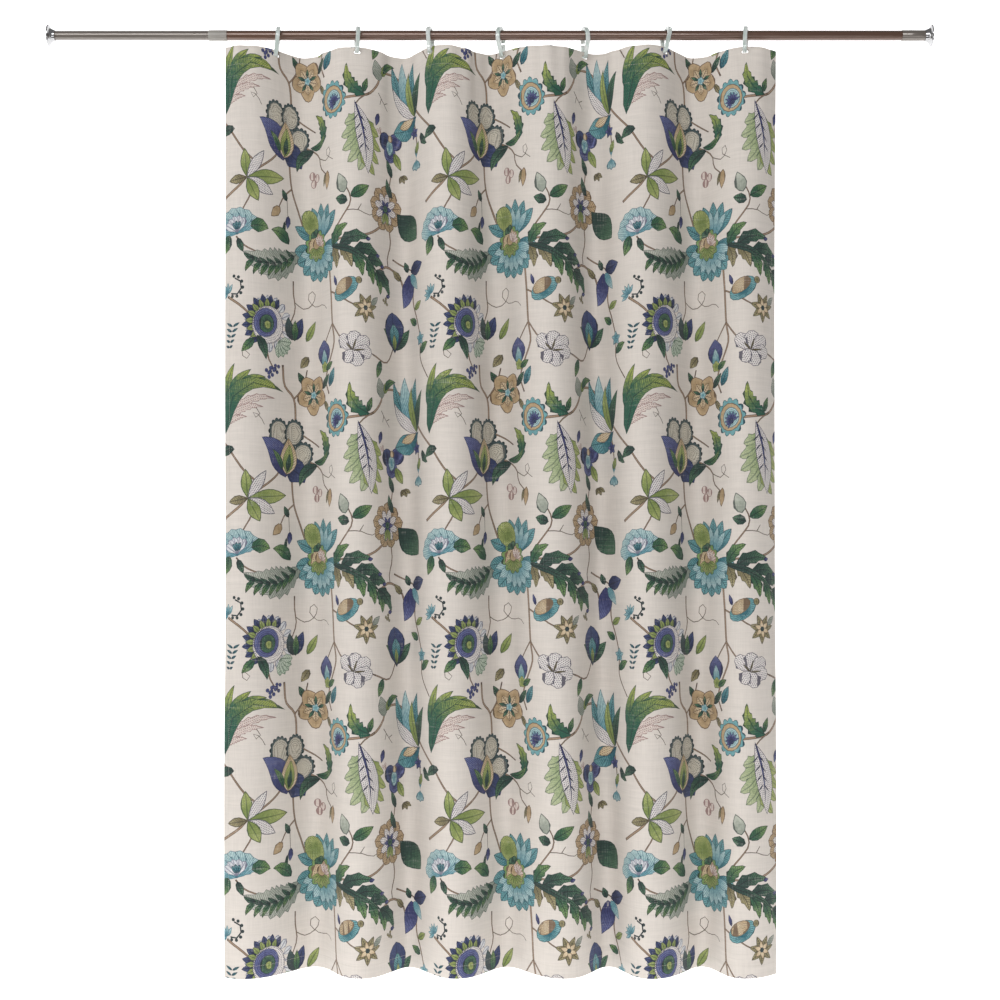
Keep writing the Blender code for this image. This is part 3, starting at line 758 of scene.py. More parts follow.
@dataclass
class Drape:
    """The hanging cloth's middle surface, over places on the flat cloth."""

    flat_width: float = 1.50
    drop: float = 1.80
    hung_width: float = 1.071
    top_below_rod: float = 0.0335
    top_wave: float = 0.005
    depth_top: float = 0.030
    depth_bottom: float = 0.042
    opens_by: float = 0.35
    middle_y: float = -0.003
    held_forward: float = 0.018
    held_back: float = 0.013
    held_down: float = 0.10
    pull_width: float = 0.45
    front_fullness: float = 0.12
    hole_below_edge: float = 0.007
    hole_height: float = 0.0056
    hole_width: float = 0.0132
    folds_at_top: tuple[float, ...] = (
        -0.062, 0.032, 0.139, 0.231, 0.318, 0.402, 0.486, 0.580, 0.666, 0.756, 0.855, 0.951, 1.041)
    folds_at_bottom: tuple[float, ...] = (
        -0.062, 0.040, 0.158, 0.246, 0.329, 0.415, 0.508, 0.607, 0.691, 0.762, 0.859, 0.927, 1.041)
    rings: tuple[tuple[float, float, float], ...] = (
        (0.090, 7.0, 4.0), (0.238, 10.0, -2.0), (0.370, -12.0, 1.0), (0.502, -16.0, -7.0),
        (0.653, 15.0, 1.0), (0.798, 20.0, 6.0), (0.943, -9.0, 8.0))
    ring: RingShape = field(default_factory=RingShape)
    ripple: float = 0.0022
    ripple_length: float = 0.047
    ripple_fades: float = 0.11
    sway: float = 0.0022

    def __post_init__(self) -> None:
        """Work out where the rings hold the cloth, and the table from flat places to folds."""
        self.cloth_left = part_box("curtain_panel")[0].x
        self.left, self.right = self.fold_at(0.0), self.fold_at(1.0)
        self.ring_folds = [self.fold_at(share) for share, _, _ in self.rings]
        self.pulls: list[tuple[float, float]] = []
        self.corrections: list[tuple[float, float]] = []
        free = [float(self.depth(fold, 0.0)) for fold in self.ring_folds]
        held = [min(max(depth, -self.held_forward), self.held_back) for depth in free]
        self.pulls = [(fold, end - start) for fold, start, end in zip(self.ring_folds, free, held)]
        self.hangs = [
            RingHang(self.ring, float(self.depth(fold, 0.0)), self.heading(fold), math.radians(yaw),
                     math.radians(lean))
            for fold, (_, yaw, lean) in zip(self.ring_folds, self.rings)
        ]
        self.corrections = [
            (fold, hang.hole_top + self.hole_below_edge - float(self.top_edge(fold)))
            for fold, hang in zip(self.ring_folds, self.hangs)
        ]
        self.table_rows = np.concatenate([np.linspace(0, 0.12, 9), np.linspace(0.16, 1.0, 15)])
        self.table_folds = np.linspace(self.left, self.right, 1601)
        self.table_arcs = []
        for row in self.table_rows:
            line = self.surface(self.table_folds, np.full_like(self.table_folds, row))
            arc = walked(line[:, :2])
            self.table_arcs.append(arc / arc[-1] * self.flat_width)

    def fold_at(self, share: float) -> float:
        """The fold number where the top edge is at a share of the hung width."""
        low, high = 0.0, len(self.folds_at_top) - 1.0
        while high - low > 1e-7:
            middle = (low + high) / 2
            if float(curve(self.folds_at_top, middle)) < share:
                low = middle
            else:
                high = middle
        return (low + high) / 2

    def near_rings(self, amounts: Iterable[tuple[float, float]], fold: Any) -> Any:
        """The sum of what each ring adds here."""
        total = np.zeros_like(np.asarray(fold, float))
        for ring, amount in amounts:
            total = total + amount * np.exp(-(((fold - ring) / self.pull_width) ** 2))
        return total

    def frontness(self, fold: Any) -> Any:
        """1 on a front fold line and -1 on a back one."""
        turn = math.pi * (np.asarray(fold, float) - 1)
        return np.cos(turn) + self.front_fullness * (1 - np.cos(2 * turn))

    def depth(self, fold: Any, down: Any) -> Any:
        """How far behind the rod's axis the cloth is."""
        half = self.depth_top + (self.depth_bottom - self.depth_top) * ease(np.asarray(down) / self.opens_by)
        pull = self.near_rings(self.pulls, fold) * (1 - ease(np.asarray(down) / self.held_down))
        return self.middle_y - half * self.frontness(fold) + pull

    def top_edge(self, fold: Any) -> Any:
        """Height of the top edge."""
        return self.top_wave * self.frontness(fold) - self.top_below_rod + self.near_rings(self.corrections, fold)

    def surface(self, fold: Array, down: Array) -> Array:
        """Points of the cloth's folds, without its small ripples."""
        top_x, bottom_x = curve(self.folds_at_top, fold), curve(self.folds_at_bottom, fold)
        share = (fold - self.left) / (self.right - self.left)
        edges = curve(self.folds_at_bottom, self.left) * (1 - share)
        edges = edges + (curve(self.folds_at_bottom, self.right) - 1) * share
        x = self.cloth_left + self.hung_width * (top_x + (bottom_x - edges - top_x) * down)
        top = self.top_edge(fold)
        z = top + (-self.top_below_rod - self.drop - top) * down
        return np.stack([x, self.depth(fold, down), z], axis=-1)

    def heading(self, fold: float) -> float:
        """The angle between the top edge and the rod, seen from above."""
        step = 0.02
        start, end = self.surface(np.array([fold - step, fold + step]), np.zeros(2))
        return math.atan2(end[1] - start[1], end[0] - start[0])

    def fold_of(self, flat: Array) -> Array:
        """Fold numbers of places on the flat cloth, so that the cloth keeps its width along each row."""
        down = flat[:, 1] / self.drop
        row = np.clip(np.searchsorted(self.table_rows, down) - 1, 0, len(self.table_rows) - 2)
        share = (down - self.table_rows[row]) / (self.table_rows[row + 1] - self.table_rows[row])
        fold = np.zeros(len(flat))
        for number, arc in enumerate(self.table_arcs):
            here = np.interp(flat[:, 0], arc, self.table_folds)
            fold += np.where(row == number, (1 - share) * here, 0) + np.where(row == number - 1, share * here, 0)
        return fold

    def across_of(self, fold: float, down: float) -> float:
        """The place across the flat cloth of a fold number, at a share of the drop."""
        row = int(np.argmin(abs(self.table_rows - down)))
        return float(np.interp(fold, self.table_folds, self.table_arcs[row]))

    def small_ripples(self, flat: Array, fold: Array) -> Array:
        """How far the cloth stands off its large folds: gathers under the header and a soft unevenness."""
        across, down = flat[:, 0], flat[:, 1]
        free = 1 - np.clip(self.near_rings([(ring, 1.0) for ring in self.ring_folds], fold), 0, 1)
        gather = np.sin(across * math.tau / self.ripple_length + 1.3 * np.sin(across * 7.0))
        gather *= self.ripple * free * np.exp(-down / self.ripple_fades)
        long = np.sin(across * 17.0 + down * 2.1 + 0.8 * np.sin(down * 5.3))
        short = np.sin(across * 41.0 - down * 4.7 + 1.1 * np.sin(down * 3.1 + across * 6.0))
        fades_in = ease(down / 0.25)
        return gather + self.sway * fades_in * (0.65 * long + 0.35 * short)

    def place(self, flat: Array, behind: Any = 0.0) -> tuple[Array, Array]:
        """Where places on the flat cloth hang.

        Args:
            flat: Places across and down the flat cloth.
            behind: How far behind the cloth's middle, one number or one for each place.

        Returns:
            Points in the frame, and the directions out of the cloth's front there.
        """
        def hung(places: Array) -> tuple[Array, Array]:
            """The middle surface with its ripples, and the direction out of its back."""
            fold = self.fold_of(places)
            down = places[:, 1] / self.drop
            middle = self.surface(fold, down)
            step = 0.01
            along = self.surface(fold + step, down) - self.surface(fold - step, down)
            back = np.stack([-along[:, 1], along[:, 0], np.zeros(len(along))], axis=-1)
            back /= np.linalg.norm(back, axis=1, keepdims=True)
            return middle + back * self.small_ripples(places, fold)[:, None], back

        nudge = 0.0015
        middle, _ = hung(flat)
        right, _ = hung(flat + [nudge, 0])
        left, _ = hung(flat - [nudge, 0])
        lower, _ = hung(flat + [0, nudge])
        upper, _ = hung(np.maximum(flat - [0, nudge], [-1, 0]))
        across, down = right - left, lower - upper
        front = np.cross(down, across)
        front /= np.linalg.norm(front, axis=1, keepdims=True)
        level = front * [1, 1, 0]
        level /= np.linalg.norm(level, axis=1, keepdims=True)
        return middle - level * np.asarray(behind).reshape(-1, 1), front

    def buttonholes(self) -> list[tuple[float, float, float, float]]:
        """Each hole as its lowest and highest place across and down the flat cloth."""
        holes = []
        down = (self.hole_below_edge + self.hole_height / 2) / self.drop
        for fold in self.ring_folds:
            ends = self.surface(np.array([fold - 0.02, fold + 0.02]), np.zeros(2))
            half = self.hole_width / 2 / (np.linalg.norm(ends[1] - ends[0]) / 0.04)
            holes.append((
                self.across_of(fold - half, down), self.across_of(fold + half, down),
                self.hole_below_edge, self.hole_below_edge + self.hole_height,
            ))
        return holes


# -------------------------------------------------------------------------------------------- print

class Pattern(Enum):
    """What is drawn inside a printed shape: veins, dots, hatching and stripes, each from 0 to 1."""

    PLAIN = (0.0, 0.0, 0.0, 0.0)
    VEINS = (0.8, 0.0, 0.0, 0.0)
    DOTS = (0.0, 1.0, 0.0, 0.0)
    HATCH = (0.0, 0.0, 0.9, 0.0)
    STRIPES = (0.0, 0.0, 0.0, 0.8)
    FINE = (0.4, 0.0, 0.0, 0.25)


@dataclass(frozen=True)
class Ink:
    """The colours of a printed shape: at its root, at its tip, and its drawn lines."""

    body: Colour
    tip: Colour
    line: Colour
    pattern: Pattern = Pattern.PLAIN
    rim: float = 0.0010

    def drawn(self, pattern: Pattern, rim: Optional[float] = None) -> "Ink":
        """The same colours with another pattern."""
        return Ink(self.body, self.tip, self.line, pattern, self.rim if rim is None else rim)


Dye = tuple[int, int, int]


def mixed(root: Dye, tip: Dye, line: Dye, pattern: Pattern = Pattern.PLAIN, rim: float = Ink.rim) -> Ink:
    """An ink from three dyes as they are seen."""
    return Ink(dye_colour(*root), dye_colour(*tip), dye_colour(*line), pattern, rim)


class Inks:
    """The print's palette."""

    GREEN = mixed((44, 88, 62), (112, 142, 84), (30, 46, 42), Pattern.VEINS)
    PLUME = mixed((34, 88, 68), (158, 168, 82), (28, 52, 48), Pattern.FINE)
    DEEP = mixed((34, 62, 54), (74, 112, 84), (24, 34, 36), Pattern.VEINS)
    LIME = mixed((122, 138, 72), (164, 172, 104), (66, 78, 52), Pattern.FINE)
    PALE = mixed((146, 162, 116), (178, 186, 148), (72, 86, 70), Pattern.FINE)
    OLIVE = mixed((118, 110, 78), (158, 148, 110), (72, 64, 50), Pattern.VEINS)
    TEAL = mixed((38, 98, 110), (104, 154, 158), (26, 56, 68), Pattern.VEINS)
    SEA = mixed((98, 148, 158), (172, 196, 196), (50, 92, 106), Pattern.STRIPES)
    INDIGO = mixed((50, 54, 100), (94, 100, 146), (30, 32, 62), Pattern.STRIPES)
    NAVY = mixed((34, 42, 76), (62, 74, 116), (22, 26, 48), Pattern.FINE)
    TAN = mixed((158, 134, 100), (178, 154, 120), (92, 70, 52), Pattern.PLAIN, 0.0014)
    CREAM = mixed((206, 188, 158), (190, 168, 134), (98, 78, 60), Pattern.PLAIN)
    HATCHED = CREAM.drawn(Pattern.HATCH)
    BLUSH = mixed((204, 190, 182), (210, 196, 188), (138, 108, 104), Pattern.DOTS)
    LACE = mixed((208, 202, 200), (214, 208, 204), (66, 62, 78), Pattern.DOTS, 0.0011)
    WHITE = mixed((222, 222, 220), (206, 208, 212), (86, 88, 112), Pattern.FINE)
    FROND = mixed((190, 198, 182), (176, 190, 170), (80, 102, 86), Pattern.VEINS)
    SLATE = mixed((144, 150, 138), (176, 178, 166), (72, 78, 74), Pattern.HATCH)
    CHAR = mixed((40, 52, 54), (56, 74, 76), (24, 30, 34), Pattern.PLAIN)
    STIPPLE = mixed((196, 188, 172), (180, 174, 160), (70, 72, 72), Pattern.DOTS, 0.0009)
    BARK = mixed((150, 126, 104), (140, 118, 98), (78, 60, 50), Pattern.PLAIN, 0.0011)
    TWIG = mixed((104, 92, 80), (108, 96, 84), (84, 74, 66), Pattern.PLAIN, 0.0003)


@dataclass
class Patch:
    """One printed shape: its outline, its ridge and its ink, on the flat cloth."""

    outline: Array
    ridge: Array
    ink: Ink
    outline_seen: Optional[Array] = None
    ridge_seen: Optional[Array] = None

    def moved(self, place: tuple[float, float], turn: float, size: float) -> "Patch":
        """The shape at a place, with its own +x turned anticlockwise from rightwards by an angle in degrees."""
        angle = math.radians(turn)
        cos, sin = math.cos(angle), math.sin(angle)
        frame_axes = np.array([[cos, -sin], [-sin, -cos]]) * size
        return Patch(self.outline @ frame_axes + place, self.ridge @ frame_axes + place, self.ink)

    def shifted(self, across: float, down: float) -> "Patch":
        """The shape further across and down."""
        shift = [across, down]
        return Patch(self.outline + shift, self.ridge + shift, self.ink, self.outline_seen, self.ridge_seen)

    def uncovered(self, above: Sequence["Patch"]) -> "Patch":
        """The shape with a note of which of its edges no shape above it hides."""
        def seen(starts: Array, ends: Array) -> Array:
            """Whether any part of each edge is in sight."""
            hidden = np.zeros(len(starts), bool)
            for other in above:
                if (other.outline.max(0) > starts.min(0)).all() and (other.outline.min(0) < starts.max(0)).all():
                    spots = np.concatenate([starts, (starts + ends) / 2, ends])
                    hidden |= inside_outline(spots, other.outline).reshape(3, -1).all(0)
            return ~hidden
        ends = np.roll(self.outline, -1, axis=0)
        ridge_seen = seen(self.ridge[:-1], self.ridge[1:]) if len(self.ridge) > 1 else None
        return Patch(self.outline, self.ridge, self.ink, seen(self.outline, ends), ridge_seen)

    def read(self, points: Array, centres: Array) -> tuple[Array, Array, Array, Array]:
        """How far points lie along and across the ridge and inside the outline, and their tone.

        Args:
            points: Places on the flat cloth, three for each triangle.
            centres: The triangles' middles, once for each of their points.

        Returns:
            Along, across and inside in metres, and tone from 0 at the root to 1 at the tip or edge.
        """
        inside = segment_distance(points, self.outline, np.roll(self.outline, -1, axis=0))[0]
        if len(self.ridge) == 1:
            away, middle = points - self.ridge[0], centres - self.ridge[0]
            across = np.hypot(*away.T)
            base = np.arctan2(middle[:, 1], middle[:, 0])
            angle = np.arctan2(away[:, 1], away[:, 0])
            angle = base + (angle - base + math.pi) % math.tau - math.pi
            angle = np.where(across < 1e-6, base, angle)
            reach = float(np.hypot(*(self.outline - self.ridge[0]).T).mean())
            return angle * reach, across, inside, across / reach
        starts, ends = self.ridge[:-1], self.ridge[1:]
        _, nearest, share, signed = segment_distance(points, starts, ends)
        lengths = np.hypot(*(ends - starts).T)
        reached = np.concatenate([[0.0], np.cumsum(lengths)])
        along = reached[nearest] + share * lengths[nearest]
        return along, signed, inside, along / reached[-1]


def segment_distance(points: Array, starts: Array, ends: Array) -> tuple[Array, Array, Array, Array]:
    """Distance of points to the nearest of some segments.

    Args:
        points: Places on the flat cloth.
        starts: The segments' starts.
        ends: The segments' ends.

    Returns:
        Distance, the nearest segment's number, the share along it, and the distance with its side's sign.
    """
    way = (ends - starts)[None]
    away = points[:, None] - starts[None]
    length = np.maximum((way**2).sum(-1), 1e-14)
    share = np.clip((away * way).sum(-1) / length, 0, 1)
    off = away - way * share[..., None]
    gap = np.hypot(off[..., 0], off[..., 1])
    nearest = gap.argmin(1)
    rows = np.arange(len(points))
    side = np.sign(way[..., 0] * away[..., 1] - way[..., 1] * away[..., 0])[rows, nearest]
    return gap[rows, nearest], nearest, share[rows, nearest], gap[rows, nearest] * np.where(side < 0, -1, 1)


def blade(
    length: float, width: float, ink: Ink, bend: float = 0.0, widest: float = 0.42, point: float = 0.9,
    teeth: int = 0, tooth: float = 0.3, sway: float = 0.0, base: float = 0.0,
) -> Patch:
    """A leaf or petal from the origin along +x.

    Args:
        length: From root to tip.
        width: Across its widest place.
        ink: Its colours.
        bend: How far the middle bows to the left, as a share of the length.
        widest: Where it is widest, as a share of the length.
        point: How pointed its ends are; under 1 is fuller.
        teeth: How many teeth each side has.
        tooth: How deep they are, as a share of the half width.
        sway: How far it bows one way and then the other.
        base: Half the width at the root, as a share of the half width.

    Returns:
        The shape.
    """
    power = math.log(0.5) / math.log(widest)

    def ridge_at(t: Array) -> Array:
        """Places on the midrib."""
        off = length * (4 * bend * t * (1 - t) + sway * np.sin(math.tau * t))
        return np.stack([length * t, off], -1)

    def side_at(t: Array, scale: Array, way: int) -> Array:
        """Places on one side."""
        slope = 4 * bend * (1 - 2 * t) + sway * math.tau * np.cos(math.tau * t)
        normal = np.stack([-slope, np.ones_like(t)], -1) / np.sqrt(1 + slope**2)[:, None]
        half = width / 2 * np.maximum(np.sin(math.pi * t**power) ** point, base * (1 - t))
        return ridge_at(t) + normal * (way * half * scale)[:, None]

    if teeth:
        steps = np.arange(teeth)
        valley, tip = (steps + 0.30) / (teeth + 0.3), (steps + 1.0) / (teeth + 0.3)
        t = np.stack([valley, tip], -1).ravel()
        scale = np.tile([1 - tooth, 1 + tooth * 0.5], teeth)
        keep = t < 0.985
        t, scale = t[keep], scale[keep]
    else:
        count = int(np.clip(length / 0.009, 3, 7))
        t = (np.arange(count) + 0.5) / count
        scale = np.ones_like(t)
    ends = np.array([0.0, 1.0])
    root, top = ridge_at(ends)
    outline = np.concatenate([[root], side_at(t, scale, 1), [top], side_at(t, scale, -1)[::-1]])
    ridge = ridge_at(np.linspace(0.02, 0.98, 2 if length < 0.018 else 3 if length < 0.03 else 4))
    return Patch(outline, ridge, ink)


def disc(
    radius: float, ink: Ink, lobes: int = 0, depth: float = 0.2, long: float = 1.0, turn: float = 0.0,
    sharp: float = 1.0,
) -> Patch:
    """A round shape about the origin: a disc, an oval or a scalloped medallion.

    Args:
        radius: Its mean radius across.
        ink: Its colours.
        lobes: How many lobes its edge has.
        depth: How deep they are, as a share of the radius.
        long: How much longer it is along x.
        turn: Where the first lobe points, in degrees.
        sharp: Under 1 the lobes are rounder, over 1 more pointed.

    Returns:
        The shape.
    """
    count = max(14, lobes * 4) if radius > 0.006 else 8
    angle = np.arange(count) / count * math.tau
    reach = np.full(count, radius)
    if lobes:
        wave = np.abs(np.cos(lobes * (angle - math.radians(turn)) / 2)) ** sharp
        reach = radius * (1 - depth + 1.5 * depth * wave)
    outline = np.stack([np.cos(angle) * reach * long, np.sin(angle) * reach], -1)
    return Patch(outline, np.zeros((1, 2)), ink)


STEM_STEP = 0.010


def stem(points: Sequence[tuple[float, float]], width: float, ink: Ink, end_width: Optional[float] = None) -> Patch:
    """A vine or tendril of even width through given points in millimetres."""
    knots = np.array(points, float) / 1000
    steps = (len(knots) - 1) * 5
    t = np.linspace(0, len(knots) - 1, steps + 1)
    line = np.stack([curve(list(knots[:, 0]), t), curve(list(knots[:, 1]), t)], -1)
    length = walked(line)[-1]
    line = read_off(line, np.linspace(0, length, max(4, int(length / STEM_STEP))))
    way = np.gradient(line, axis=0)
    normal = np.stack([-way[:, 1], way[:, 0]], -1) / np.hypot(*way.T)[:, None]
    half = np.linspace(width, width if end_width is None else end_width, len(line))[:, None] / 2
    outline = np.concatenate([line + normal * half, (line - normal * half)[::-1]])
    return Patch(outline, line, ink)


Motif = list[Patch]
Spot = tuple[float, float]
FULLNESS = 1.14


def shade(ink: Ink) -> Ink:
    """An ink's line colour as a plain fill."""
    return Ink(ink.line, ink.line, ink.line, Pattern.PLAIN, 0.0001)


def petal(start: Spot, end: Spot, width: float, ink: Ink, **shape: Any) -> Patch:
    """A leaf or petal between two places in millimetres; a bend bows it to the left of its way."""
    across, down = end[0] - start[0], end[1] - start[1]
    made = blade(math.hypot(across, down) / 1000, FULLNESS * width / 1000, ink, **shape)
    return made.moved((start[0] / 1000, start[1] / 1000), math.degrees(math.atan2(-down, across)), 1.0)


def leaf(start: Spot, end: Spot, width: float, ink: Ink, **shape: Any) -> Motif:
    """A leaf or petal as a motif of its own."""
    return [petal(start, end, width, ink, **shape)]


def oval(place: Spot, radius: float, ink: Ink, turn: float = 0.0, **shape: Any) -> Patch:
    """A round, oval or scalloped shape at a place in millimetres."""
    return disc(radius / 1000, ink, **shape).moved((place[0] / 1000, place[1] / 1000), turn, 1.0)


def fan(place: Spot, angles: Iterable[float], reach: float, width: float, ink: Ink, out: float = 0.0,
        **shape: Any) -> Motif:
    """Petals about a place, at angles in degrees anticlockwise from rightwards."""
    made: Motif = []
    for angle in angles:
        across, down = math.cos(math.radians(angle)), -math.sin(math.radians(angle))
        start = (place[0] + out * across, place[1] + out * down)
        made += leaf(start, (start[0] + reach * across, start[1] + reach * down), width, ink, **shape)
    return made


def turns(count: int, start: float = 0.0, spread: float = 360.0) -> list[float]:
    """Evenly spread angles."""
    step = spread / (count if spread >= 360 else count - 1)
    return [start + step * number for number in range(count)]


def cluster(place: Spot, radius: float, count: int, ink: Ink) -> Motif:
    """Small round berries packed in a spiral."""
    made = []
    for number in range(count):
        angle, out = 2.4 * number, 1.1 * radius * math.sqrt(number)
        spot = (place[0] + out * math.cos(angle), place[1] + out * math.sin(angle))
        made.append(oval(spot, radius, ink.drawn(Pattern.PLAIN, 0.0008)))
    return made


class TrailingPrint:
    """One repeat of a trailing flower print, and its repeats over the cloth; its places are in millimetres."""

    width = 0.55
    height = 0.62

    def vines(self) -> Motif:
        """The climbing vines, the twigs that carry the flowers, and the tendrils."""
        vine, twig, hair = (5.4, 4.0), (3.6, 2.6), (1.9, 1.3)
        routes = (
            (vine, [(307, 100), (350, 95), (376, 88), (398, 66), (408, 44), (435, 37), (458, 44), (476, 72),
                    (508, 111), (531, 133), (558, 156), (579, 183), (596, 204), (625, 228)]),
            (vine, [(-8, 298), (12, 286), (35, 270), (52, 252), (76, 236), (98, 222), (116, 208), (130, 190)]),
            (vine, [(131, -8), (136, 32), (160, 56), (164, 104), (158, 160), (155, 215), (160, 264), (176, 305),
                    (190, 342)]),
            (twig, [(160, 56), (176, 40), (186, 20), (192, -4)]), (twig, [(174, 122), (200, 136), (224, 150)]),
            (twig, [(187, 174), (216, 186), (236, 202), (240, 222), (262, 240)]),
            (twig, [(376, 88), (356, 98), (342, 112)]), (twig, [(52, 252), (60, 282), (44, 312), (30, 336)]),
            (twig, [(27, 369), (46, 388), (82, 402), (106, 406)]),
            (vine, [(419, 320), (403, 342), (371, 361), (334, 370), (280, 372)]),
            (twig, [(430, 340), (434, 372), (424, 400), (426, 416)]),
            (vine, [(396, 430), (420, 418), (446, 424), (462, 440), (466, 452)]),
            (twig, [(440, 400), (470, 412), (500, 428)]), (vine, [(267, 420), (272, 470), (276, 532), (282, 570),
                                                               (262, 610), (250, 640), (262, 668)]),
            (twig, [(296, 345), (316, 322), (328, 304), (326, 286), (314, 266)]),
            (hair, [(320, 318), (344, 318), (368, 326), (384, 320)]), (hair, [(344, 318), (352, 306)]),
            (twig, [(494, 452), (494, 488), (508, 522), (520, 560), (520, 600), (548, 640)]),
            (vine, [(8, 485), (36, 503), (62, 526)]), (twig, [(160, 444), (160, 470), (164, 500), (150, 530)]),
            (hair, [(164, 486), (186, 496), (206, 486), (214, 468), (202, 460), (196, 476), (214, 492),
                    (240, 490), (254, 500)]),
            (hair, [(35, 73), (62, 76), (76, 92), (66, 99), (62, 88), (76, 96), (86, 112)]),
            (hair, [(238, 204), (262, 212), (276, 196), (268, 186), (262, 200), (284, 214)]),
            (hair, [(400, 82), (412, 96), (428, 112)]), (hair, [(408, 92), (404, 104)]),
            (hair, [(418, 100), (428, 96)]), (hair, [(60, 560), (40, 586), (44, 606), (56, 600), (46, 590)]),
            (twig, [(160, 264), (138, 282), (120, 312)]), (hair, [(146, 276), (148, 322)]),
            (twig, [(430, 206), (436, 240), (426, 276)]), (twig, [(500, 130), (506, 152), (512, 196)]),
            (twig, [(276, 532), (306, 566), (336, 580), (376, 596)]), (twig, [(276, 532), (256, 556), (244, 572)]),
            (twig, [(92, 590), (100, 612), (118, 630)]), (twig, [(376, 596), (420, 606), (446, 566)]),
            (twig, [(272, 470), (296, 480), (330, 500), (356, 508)]),
        )
        return [stem(points, width[0] / 1000, Inks.BARK if width[0] > 2 else Inks.TWIG, width[1] / 1000)
                for width, points in routes]

    def top_flowers(self) -> Motif:
        """The plume, the rosette, the medallion, the large blossom and what is beside them."""
        made: Motif = []
        for start, end, wide in (((12, 96), (112, 60), 15), ((12, 102), (84, 78), 14), ((10, 112), (50, 98), 11)):
            made += leaf(start, end, wide, Inks.BLUSH, bend=0.14, teeth=6, tooth=0.25)
        for start, end, wide in (((6, 86), (24, -6), 24), ((16, 62), (58, 6), 22), ((32, 44), (90, 20), 20),
                                 ((58, 36), (112, 34), 16)):
            made += leaf(start, end, wide, Inks.PLUME, bend=0.10, widest=0.36)
        made += leaf((2, 130), (134, 46), 30, Inks.PLUME.drawn(Pattern.VEINS), bend=0.36, widest=0.34)
        made += leaf((236, 36), (262, 8), 14, Inks.DEEP) + leaf((262, 34), (282, -2), 18, Inks.TEAL)
        made += leaf((244, 60), (262, 84), 12, Inks.OLIVE) + leaf((186, 26), (170, 2), 14, Inks.DEEP)
        for angle in turns(5, 18):
            spot = (208 + 23 * math.cos(math.radians(angle)), 46 + 23 * math.sin(math.radians(angle)))
            made.append(oval(spot, 17.5, Inks.TAN, -angle, lobes=3, depth=0.13, sharp=0.8))
        made += fan((208, 46), turns(5, -18), 26, 17, Inks.CREAM.drawn(Pattern.VEINS), 2)
        made += fan((208, 46), turns(5, 18), 20, 7, Inks.DEEP.drawn(Pattern.PLAIN), 5)
        made.append(oval((208, 46), 8, Inks.SEA.drawn(Pattern.PLAIN), lobes=5, depth=0.25))
        made += cluster((100, 8), 4.2, 7, Inks.INDIGO)
        made += self.blossom()
        made += leaf((248, 178), (226, 116), 24, Inks.PLUME, bend=-0.20, teeth=5, tooth=0.22)
        made += leaf((208, 178), (258, 154), 13, Inks.GREEN, bend=-0.22)
        made += leaf((218, 186), (174, 228), 20, Inks.DEEP, bend=-0.20)
        made += leaf((24, 160), (-12, 176), 18, Inks.DEEP, bend=-0.15)
        made.append(oval((286, 97), 34, Inks.TEAL.drawn(Pattern.PLAIN), 90, lobes=13, depth=0.12, long=1.06))
        made += [oval((286, 97), 27.5, Inks.TAN), oval((288, 98), 20, Inks.SEA)]
        made += fan((290, 104), turns(9, 20, 220), 19, 5.5, Inks.INDIGO.drawn(Pattern.PLAIN))
        made.append(oval((291, 106), 5, Inks.NAVY))
        made += leaf((366, 92), (324, 30), 26, Inks.PLUME, bend=0.22, teeth=5, tooth=0.26)
        made += leaf((360, 88), (372, 58), 13, Inks.GREEN)
        made += [petal((404, 58), (392, 18), 25, Inks.SLATE), petal((410, 48), (424, 20), 15, Inks.LIME)]
        made += leaf((414, 42), (448, 22), 14, Inks.GREEN, bend=0.2)
        made += self.oak_leaf()
        made += leaf((400, 122), (392, 148), 12, Inks.INDIGO) + cluster((404, 156), 3.2, 5, Inks.BLUSH)
        made += self.pansy()
        for end, wide, ink in (((442, 20), 26, Inks.TEAL), ((468, 10), 26, Inks.SEA), ((500, 14), 24, Inks.TEAL),
                               ((524, 40), 20, Inks.DEEP), ((444, 62), 20, Inks.LACE), ((484, 30), 15, Inks.LIME)):
            made += leaf((503, 122), end, wide, ink, bend=0.10)
        made += leaf((509, 120), (446, 150), 38, Inks.TEAL, bend=0.10, widest=0.6)
        made += leaf((500, 123), (462, 140), 17, Inks.CREAM.drawn(Pattern.DOTS), widest=0.6)
        made += fan((502, 154), turns(5, 30), 13, 8, Inks.INDIGO.drawn(Pattern.PLAIN))
        made += fan((508, 206), (240, 270, 300, 90), 24, 12, Inks.SEA, widest=0.7)
        made += leaf((524, 158), (546, 184), 15, Inks.DEEP, bend=-0.15) + leaf((506, 196), (516, 172), 12, Inks.LIME)
        return made

    def blossom(self) -> Motif:
        """Three stippled, scalloped lobes over swept indigo petals, with a lime heart."""
        made: Motif = []
        for place, radius, long, turn in (((122, 126), 26, 1.12, 104), ((160, 124), 24, 1.18, 78),
                                          ((180, 166), 24, 1.20, 52)):
            made.append(oval(place, radius, Inks.CHAR, turn, lobes=15, depth=0.09, long=long))
            made.append(oval(place, radius - 4.5, Inks.STIPPLE, turn, long=long))
        made += leaf((138, 212), (80, 136), 46, Inks.INDIGO, bend=-0.14, widest=0.38)
        made += leaf((130, 192), (186, 220), 46, Inks.NAVY, bend=0.16, widest=0.5)
        made += leaf((140, 206), (146, 134), 38, Inks.CREAM.drawn(Pattern.VEINS), bend=-0.05)
        made += leaf((142, 204), (150, 146), 25, Inks.LIME.drawn(Pattern.VEINS))
        made += leaf((143, 200), (150, 164), 12, Inks.DEEP)
        return made + leaf((130, 198), (104, 158), 12, Inks.GREEN, bend=-0.1)

